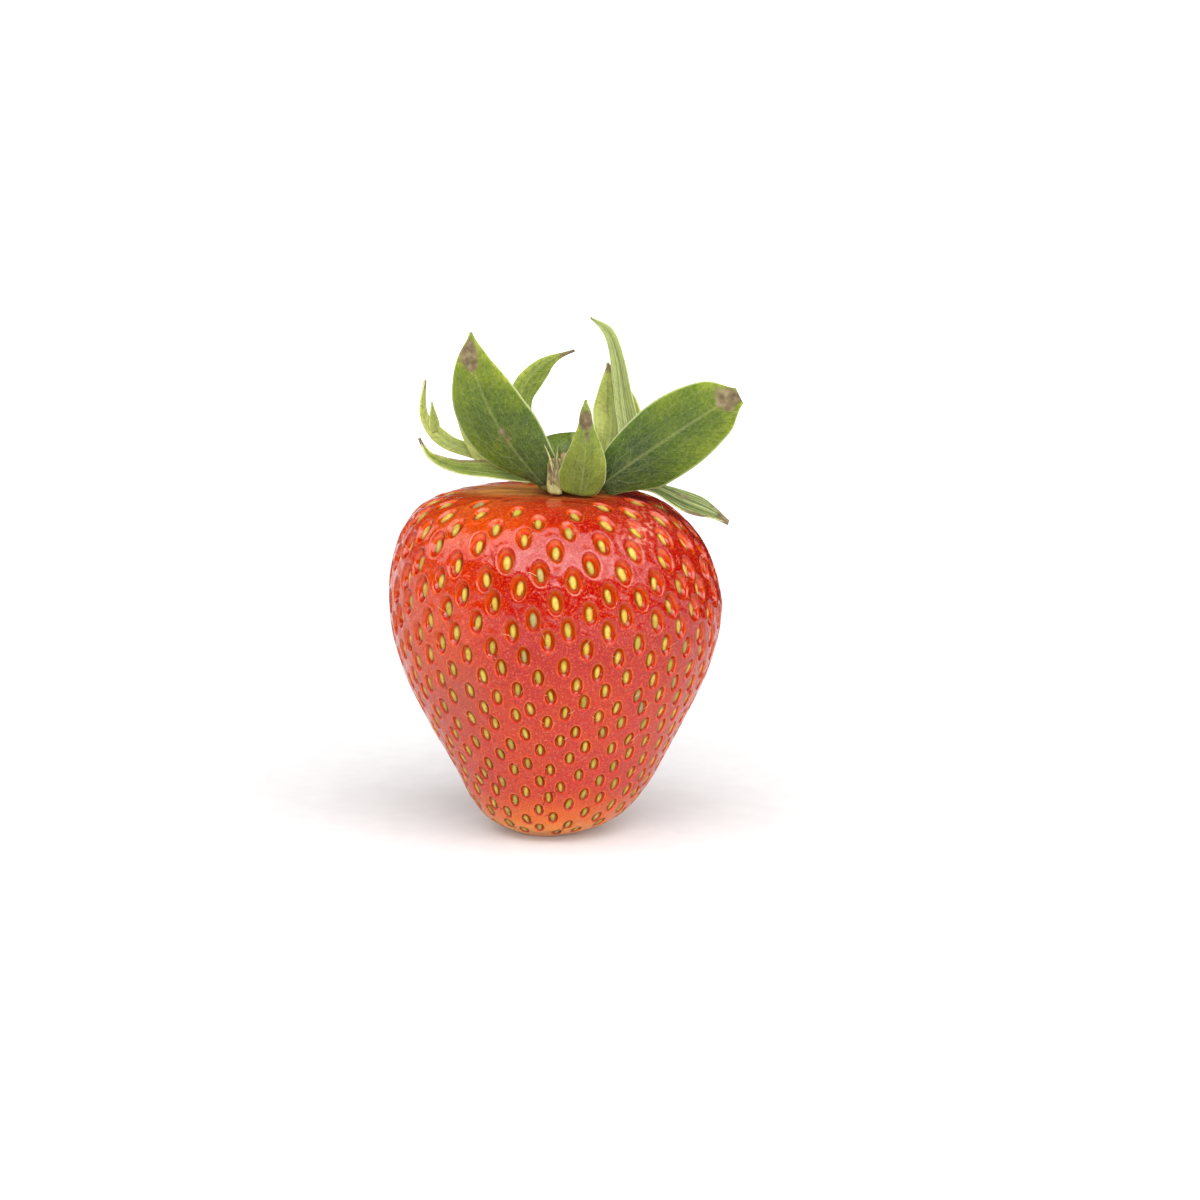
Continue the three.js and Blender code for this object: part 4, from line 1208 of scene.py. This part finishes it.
# %% [markdown]
# ## The seeds' finish
# Ripe seeds are dry and satin. They run from golden yellow through olive to brown, with a
# brown rim where they meet the flesh and darker ends. Each seed stores one number for its
# tone, and ramps on the other stored numbers find its rim and its ends.

# %% Seed material
seed_finish, tree, shader = new_material("seed_finish")
SEED_TONES = [
    (0.0, (0.45, 0.28, 0.03)), (0.35, (0.50, 0.37, 0.06)), (0.65, (0.41, 0.31, 0.045)),
    (0.95, (0.30, 0.26, 0.04)), (1.0, (0.24, 0.21, 0.12))]
SEED_EDGE = (0.22, 0.080, 0.001)
SEED_END = (0.18, 0.16, 0.015)
SEED_EDGE_SHARE = 0.90
SEED_END_SHARE = 0.6

colour = stops(tree, stored(tree, "tone"), SEED_TONES)
edge = stops(tree, stored(tree, "proud"), [(0.42, 1.0), (0.92, 0.0)], smooth=True)
colour = tint(tree, colour, SEED_EDGE, edge, SEED_EDGE_SHARE)
from_middle = maths(tree, "ABSOLUTE", stored(tree, "end"))
ends = stops(tree, from_middle, [(0.55, 0.0), (0.95, 1.0)], smooth=True)
colour = tint(tree, colour, SEED_END, ends, SEED_END_SHARE)
# Brown patches from noise are painted shade on the seeds' sides, laid at random.
colour = mix(tree, specks(tree, 5200, 0.45, 0.75, 0.6, detail=3), colour, SEED_END)
colour = mix(tree, specks(tree, 1900, 0.50, 0.68, 0.45), colour, SEED_EDGE)
tree.links.new(colour, shader.inputs["Base Color"])
tree.links.new(between(tree, noise(tree, 3000), 0.3, 0.5), shader.inputs["Roughness"])
tree.links.new(bump(tree, noise(tree, 5200, detail=3), 0.00004, 0.6), shader.inputs["Normal"])
shader.inputs["Specular IOR Level"].default_value = 0.25
seeds.data.materials.append(seed_finish)
print("seed finish has", len(tree.nodes), "nodes")

# %% [markdown]
# ## The styles' finish
# A dry style is the brown of dead grass and lets a little light through. Noise that varies
# from hair to hair is enough, because one hair is too thin to show a pattern.

# %% Style material
style_finish, tree, shader = new_material("dry_style")
colour = stops(tree, noise(tree, 900), [(0.35, (0.50, 0.22, 0.10)), (0.65, (0.72, 0.50, 0.28))])
tree.links.new(colour, shader.inputs["Base Color"])
tree.links.new(between(tree, noise(tree, 1500), 0.45, 0.65), shader.inputs["Roughness"])
shader.inputs["Subsurface Weight"].default_value = 0.2
shader.inputs["Subsurface Scale"].default_value = 0.0003
styles.data.materials.append(style_finish)
print("style finish has", len(tree.nodes), "nodes")

# %% [markdown]
# ## The leafy finish
# One material serves every sepal, because each mesh stores how green, pale and dry it is.
# The places along and across the blade steer the veins: a light midrib, two pairs of long
# side veins, branches that slant up from the midrib, a fine lengthwise grain and a thin pale
# margin. A net of cells, drawn in millimetres, gives the finest veins between them. A little
# scattering lets light glow through from behind.

# %% Sepal material
leaf, tree, shader = new_material("sepal_leaf")
LEAF_GREENS = [
    (0.0, (0.022, 0.044, 0.012)), (0.35, (0.050, 0.085, 0.006)), (0.7, (0.122, 0.160, 0.006)),
    (1.0, (0.300, 0.305, 0.035))]
LEAF_PALE = (0.38, 0.41, 0.16)
LEAF_SHADE = (0.05, 0.08, 0.02)
MARGIN_CREAM = (0.50, 0.50, 0.27)
STRAW = (0.42, 0.33, 0.16)
DRY_STOPS = [
    (0.25, (0.065, 0.045, 0.022)), (0.5, (0.135, 0.100, 0.050)), (0.75, (0.240, 0.190, 0.105))]
BRANCH_LEAN = 1.5  # a side vein climbs this much for each mm outwards
BRANCHES_PER_MM = 0.42
BRANCH_WANDER = 3.0
SIDE_VEIN_SHARE = 0.08
BRANCH_SHARE = 0.07
MARGIN_SHARE = 0.55
COARSE_SHARE = 0.05
FINE_SHARE = 0.10
NET_STRETCH = 0.55  # cells of the net are longer up the blade than across
NET_WARP = 0.8
DRY_DULLNESS = 0.2
ACROSS_STRETCH = 9.0
GREEN_NOISES = [(500, 3, 0.40), (170, 2, 0.55), (2600, 2, 0.65)]  # scale, detail, strength
STREAK_LEAST = 0.04
STREAK_SHARE = 0.4

along, across = stored(tree, "along"), stored(tree, "across")
off_middle = maths(tree, "ABSOLUTE", across)
stripe = stored(tree, "stripe")
place = tree.nodes.new("ShaderNodeCombineXYZ")
tree.links.new(times(tree, across, ACROSS_STRETCH), place.inputs["X"])
tree.links.new(along, place.inputs["Y"])
tree.links.new(noise(tree, 60), place.inputs["Z"])
on_blade = place.outputs["Vector"]
grain = noise(tree, 3.0, detail=4, rough=0.6, stretch=(1, 0.8, 0.3), source=on_blade)

green = stored(tree, "green")
for scale, detail, strength in GREEN_NOISES:
    green = plus(tree, green, centred(tree, noise(tree, scale, detail=detail), strength))
streak_strength = plus(tree, times(tree, stripe, STREAK_SHARE), STREAK_LEAST)
green = plus(tree, green, centred(tree, grain, streak_strength), clamp=True)
colour = stops(tree, green, LEAF_GREENS)
colour = mix(tree, stored(tree, "pale"), colour, LEAF_PALE)
straw = stops(tree, stored(tree, "pale"), [(0.6, 0.0), (0.95, 0.85)])
colour = mix(tree, straw, colour, STRAW)
stripes = noise(tree, 0.8, detail=2, stretch=(1, 1.2, 0.1), source=on_blade)
light_stripes = stops(tree, stripes, [(0.50, 0.0), (0.60, 0.55)])
dark_stripes = stops(tree, stripes, [(0.38, 0.6), (0.46, 0.0)])
colour = tint(tree, colour, LEAF_PALE, light_stripes, stripe)
colour = tint(tree, colour, LEAF_SHADE, dark_stripes, stripe)

midrib = stops(tree, off_middle, [(0.0, 1.0), (0.035, 0.8), (0.06, 0.0)])
colour = tint(tree, colour, LEAF_PALE, midrib, stored(tree, "rib"))
bow = maths(tree, "ABSOLUTE", plus(tree, across, centred(tree, noise(tree, 130), 0.25)))
side_veins = stops(tree, bow, [
    (0.30, 0.0), (0.325, 1.0), (0.35, 0.0), (0.61, 0.0), (0.63, 0.8), (0.65, 0.0)])
colour = tint(tree, colour, LEAF_PALE, side_veins, SIDE_VEIN_SHARE)
mm_out, mm_up = stored(tree, "mm_out"), stored(tree, "mm_up")
branch_at = minus(tree, mm_up, times(tree, maths(tree, "ABSOLUTE", mm_out), BRANCH_LEAN))
wander = centred(tree, noise(tree, 260, detail=2), BRANCH_WANDER)
branch_at = plus(tree, branch_at, wander)
right_side = maths(tree, "GREATER_THAN", mm_out, 0.0)
branch_at = times(tree, plus(tree, branch_at, right_side), BRANCHES_PER_MM)
branch_gap = maths(tree, "ABSOLUTE", centred(tree, maths(tree, "FRACT", branch_at), 1.0))
branches = stops(tree, branch_gap, [(0.0, 1.0), (0.03, 0.7), (0.075, 0.0)])
colour = tint(tree, colour, LEAF_PALE, branches, minus(tree, 1.0, stripe), BRANCH_SHARE)
margin = stops(tree, off_middle, [(0.94, 0.0), (0.985, 1.0)])
colour = tint(tree, colour, MARGIN_CREAM, margin, MARGIN_SHARE)

mesh_place = tree.nodes.new("ShaderNodeCombineXYZ")
tree.links.new(mm_out, mesh_place.inputs["X"])
tree.links.new(times(tree, mm_up, NET_STRETCH), mesh_place.inputs["Y"])
tree.links.new(times(tree, noise(tree, 1500, detail=1), NET_WARP), mesh_place.inputs["Z"])


def vein_net(cells_per_mm, line_width):
    """The fine net of veins as thin lines between cells, and the distance from them."""
    net = tree.nodes.new("ShaderNodeTexVoronoi")
    net.feature = "DISTANCE_TO_EDGE"
    net.inputs["Scale"].default_value = cells_per_mm
    tree.links.new(mesh_place.outputs["Vector"], net.inputs["Vector"])
    gap = net.outputs["Distance"]
    return stops(tree, gap, [(0.0, 1.0), (line_width, 0.0)]), gap


coarse_line, coarse_gap = vein_net(0.9, 0.05)
fine_line, fine_gap = vein_net(2.3, 0.09)
colour = tint(tree, colour, LEAF_PALE, coarse_line, COARSE_SHARE)
colour = tint(tree, colour, LEAF_PALE, fine_line, FINE_SHARE)
colour = mix(tree, specks(tree, 3600, 0.66, 0.74, 0.25), colour, LEAF_PALE)
ragged = centred(tree, noise(tree, 900, detail=4), 0.7)
ragged = plus(tree, ragged, centred(tree, grain, 0.8))
near_dry = stops(tree, stored(tree, "dry"), [(0.05, 0.0), (0.3, 1.0)])
dry_edge = plus(tree, stored(tree, "dry"), times(tree, ragged, near_dry))
dry = stops(tree, dry_edge, [(0.38, 0.0), (0.55, 1.0)])
colour = mix(tree, dry, colour, stops(tree, noise(tree, 1100, detail=3), DRY_STOPS))
tree.links.new(colour, shader.inputs["Base Color"])

rough = between(tree, noise(tree, 1500), 0.38, 0.55)
rough = plus(tree, rough, times(tree, dry, DRY_DULLNESS), clamp=True)
tree.links.new(rough, shader.inputs["Roughness"])
shader.inputs["Specular IOR Level"].default_value = 0.25
shader.inputs["Subsurface Weight"].default_value = 0.3
shader.inputs["Subsurface Radius"].default_value = (0.6, 1.0, 0.25)
shader.inputs["Subsurface Scale"].default_value = 0.0008
fine_veins = bump(tree, branches, 0.00010, 0.6, below=bump(tree, grain, 0.00003, 0.7))
cells = bump(tree, fine_gap, 0.00008, 0.6, below=bump(tree, coarse_gap, 0.00020, 0.5, below=fine_veins))
tree.links.new(cells, shader.inputs["Normal"])
for blade in blades.values():
    blade.data.materials.append(leaf)
print("leaf has", len(tree.nodes), "nodes")

# %% [markdown]
# ## The hub's finish
# The hub is a yellower green than the sepals, paler on its ribs and brownish in the middle.
# Its mesh stores the ribs and the reach from the middle, and ramps turn both into colour.

# %% Hub material
hub_finish, tree, shader = new_material("calyx_green")
HUB_GREENS = [
    (0.25, (0.060, 0.085, 0.016)), (0.5, (0.105, 0.125, 0.026)), (0.8, (0.170, 0.165, 0.045))]
HUB_MIDDLE = (0.28, 0.23, 0.09)

mottle = noise(tree, 900, detail=3)
tone = plus(tree, times(tree, stored(tree, "rib"), 0.12), mottle, clamp=True)
middle_share = stops(tree, stored(tree, "reach"), [(0.1, 0.6), (0.4, 0.0)])
colour = mix(tree, middle_share, stops(tree, tone, HUB_GREENS), HUB_MIDDLE)
tree.links.new(colour, shader.inputs["Base Color"])
tree.links.new(between(tree, mottle, 0.45, 0.65), shader.inputs["Roughness"])
tree.links.new(bump(tree, noise(tree, 1800, detail=4), 0.00012, 0.7), shader.inputs["Normal"])
shader.inputs["Subsurface Weight"].default_value = 0.2
shader.inputs["Subsurface Scale"].default_value = 0.0008
hub.data.materials.append(hub_finish)
print("hub finish has", len(tree.nodes), "nodes")

# %% [markdown]
# ## The stem's finish
# The stub's side is a streaky green going brown, and its broken end is brown and fibrous. A
# noise stretched along the stem makes the streaks. The mesh says which points are on the end.

# %% Stem material
stem_finish, tree, shader = new_material("stem_skin")
BARK_STOPS = [(0.3, (0.17, 0.19, 0.05)), (0.55, (0.33, 0.30, 0.11)), (0.75, (0.45, 0.33, 0.16))]
BROKEN_DARK = (0.10, 0.055, 0.025)
BROKEN_LIGHT = (0.36, 0.24, 0.12)

streaks = noise(tree, 1400, detail=3, stretch=(1, 1, 0.25))
bark = stops(tree, streaks, BARK_STOPS)
broken = between(tree, noise(tree, 2600, detail=4), BROKEN_DARK, BROKEN_LIGHT)
tree.links.new(mix(tree, stored(tree, "cut"), bark, broken), shader.inputs["Base Color"])
tree.links.new(between(tree, streaks, 0.5, 0.75), shader.inputs["Roughness"])
tree.links.new(bump(tree, noise(tree, 2400, detail=4), 0.00018, 0.8), shader.inputs["Normal"])
stub.data.materials.append(stem_finish)
print("stem finish has", len(tree.nodes), "nodes")

# %% [markdown]
# ## The white table
# The fruit stands on a round sheet of white paper. The sheet is flat near the fruit and its
# rim bends up far away, so no line shows behind the fruit. The paper gives off a little
# light of its own, more of it further out. That whitens the background and leaves the soft
# shadow under the fruit.

# %% Floor
SWEEP_SIDE = [(0.3, 0.0), (1.2, 0.0), (1.8, 0.06), (2.4, 0.22), (2.9, 0.50)]
SWEEP_TURNS = 48
GLOW_STOPS = [(0.07, 0.09), (0.40, 1.0)]
PAPER_DARK = (0.55, 0.54, 0.54)
PAPER_LIGHT = (0.58, 0.57, 0.57)

sweep_turn = 2 * np.pi * np.arange(SWEEP_TURNS) / SWEEP_TURNS
sweep_circle = np.column_stack([np.cos(sweep_turn), np.sin(sweep_turn)])
floor_points = np.vstack([
    np.column_stack([radius * sweep_circle, np.full(SWEEP_TURNS, height)])
    for radius, height in SWEEP_SIDE])
floor_faces = [tuple(range(SWEEP_TURNS))] + ring_faces(len(SWEEP_SIDE) - 1, SWEEP_TURNS)
floor = add_piece("paper_table", floor_points, floor_faces)
paper, tree, shader = new_material("white_paper")
shade = between(tree, noise(tree, 300, detail=2), PAPER_DARK, PAPER_LIGHT)
tree.links.new(shade, shader.inputs["Base Color"])
shader.inputs["Roughness"].default_value = 0.9
shader.inputs["Specular IOR Level"].default_value = 0.1
shader.inputs["Emission Color"].default_value = (1, 1, 1, 1)
far = tree.nodes.new("ShaderNodeVectorMath")
far.operation = "LENGTH"
tree.links.new(tree.nodes.new("ShaderNodeTexCoord").outputs["Object"], far.inputs[0])
tree.links.new(stops(tree, far.outputs["Value"], GLOW_STOPS), shader.inputs["Emission Strength"])
floor.data.materials.append(paper)
print("paper table is", 2 * SWEEP_SIDE[-1][0], "m wide")

# %% [markdown]
# ## Studio light
# A large softbox overhead makes the broad highlight on the shoulder, and one in front
# carries it lower. Two at the sides carry it round to the back. Two fills only open the
# shade, since reflections don't see them. A ring of black card floats round the fruit, and
# only reflections see it: it gives the shiny skin the dark band at its waist that makes it
# look wet and round.

# %% Lights
FRUIT_MIDDLE = (0, 0, 0.03)
SOFTBOXES = [  # name, place, width, height, watts
    ("top_softbox", (0.02, -0.32, 0.82), 1.15, 0.75, 9.8),
    ("front_softbox", (0.05, -0.60, 0.62), 1.00, 0.50, 4.5),
    ("left_softbox", (-0.74, 0.02, 0.54), 0.60, 0.54, 2.8),
    ("right_softbox", (0.72, -0.30, 0.50), 0.60, 0.70, 3.6),
    ("front_fill", (0.00, -0.90, 0.08), 1.20, 0.80, 12.8),
    ("back_fill", (0.30, 0.85, 0.30), 1.20, 0.80, 5.5)]

for name, place, width, height, watts in SOFTBOXES:
    data = bpy.data.lights.new(name, "AREA")
    data.shape = "RECTANGLE"
    data.size, data.size_y = width, height
    data.energy = watts
    light = bpy.data.objects.new(name, data)
    bpy.context.scene.collection.objects.link(light)
    light.location = place
    towards_fruit = Vector(FRUIT_MIDDLE) - Vector(place)
    light.rotation_euler = towards_fruit.to_track_quat("-Z", "Y").to_euler()
    light.visible_glossy = not name.endswith("_fill")

# %% [markdown]
# The card's edges go up and down round the ring, because the dark band has to be wide where
# the fruit looks darker, and thin where a softbox should still show in the skin.

# %% Black card
CARD_REACH = 0.078
CARD_STEPS = 72
CARD_EDGES = [  # degrees round, lower edge, upper edge
    (-90, 0.044, 0.080), (-55, 0.040, 0.070), (-15, 0.034, 0.050), (0, 0.030, 0.048),
    (25, 0.015, 0.048), (60, 0.015, 0.048), (90, 0.040, 0.070), (120, 0.050, 0.055),
    (150, 0.050, 0.051), (180, 0.041, 0.058), (225, 0.042, 0.090), (250, 0.044, 0.096),
    (270, 0.044, 0.080)]

card_degrees = np.linspace(-90, 270, CARD_STEPS + 1)
card_turns = np.radians(card_degrees)
card_rim = CARD_REACH * np.stack([np.cos(card_turns), np.sin(card_turns)], axis=1)
card_low = look_up([(turn, low) for turn, low, _ in CARD_EDGES], card_degrees)
card_high = look_up([(turn, high) for turn, _, high in CARD_EDGES], card_degrees)
card_points = np.vstack([np.column_stack([card_rim, z]) for z in (card_low, card_high)])
above = CARD_STEPS + 1
card_faces = [(i, i + 1, i + above + 1, i + above) for i in range(CARD_STEPS)]
card = add_piece("black_card", card_points, card_faces)
black, tree, shader = new_material("black_felt")
tree.links.new(between(tree, noise(tree, 800), 0.004, 0.008), shader.inputs["Base Color"])
shader.inputs["Roughness"].default_value = 0.95
shader.inputs["Specular IOR Level"].default_value = 0.0
card.data.materials.append(black)
card.visible_camera = False
card.visible_diffuse = False
card.visible_shadow = False
print("card stands", CARD_REACH, "m from the fruit's axis")

# %% [markdown]
# ## The air and the picture's colours
# A faint white world fills the last shade. The plain view transform keeps the colours as
# they are lit, with no film curve over them.

# %% World
world = bpy.data.worlds.new("studio_air")
world.use_nodes = True
background = world.node_tree.nodes["Background"]
background.inputs["Color"].default_value = (1, 1, 1, 1)
background.inputs["Strength"].default_value = 0.035
bpy.context.scene.world = world
bpy.context.scene.view_settings.view_transform = "Standard"
print("world strength", round(background.inputs["Strength"].default_value, 3))

# %% [markdown]
# ## Handing the pieces over
# Each piece rides on the solid model's one body, and the solid that it stands for is hidden.

# %% Pieces and their solids
PIECES = [
    (flesh, "berry", "skin"), (seeds, "berry", "seed"), (styles, "berry", "hair"),
    (hub, "calyx_hub", "hub"), (stub, "stem_stub", "stem")]
for piece, node, finish in PIECES + [(blade, node, "sepal") for node, blade in blades.items()]:
    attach(piece, "root")
    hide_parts(node)
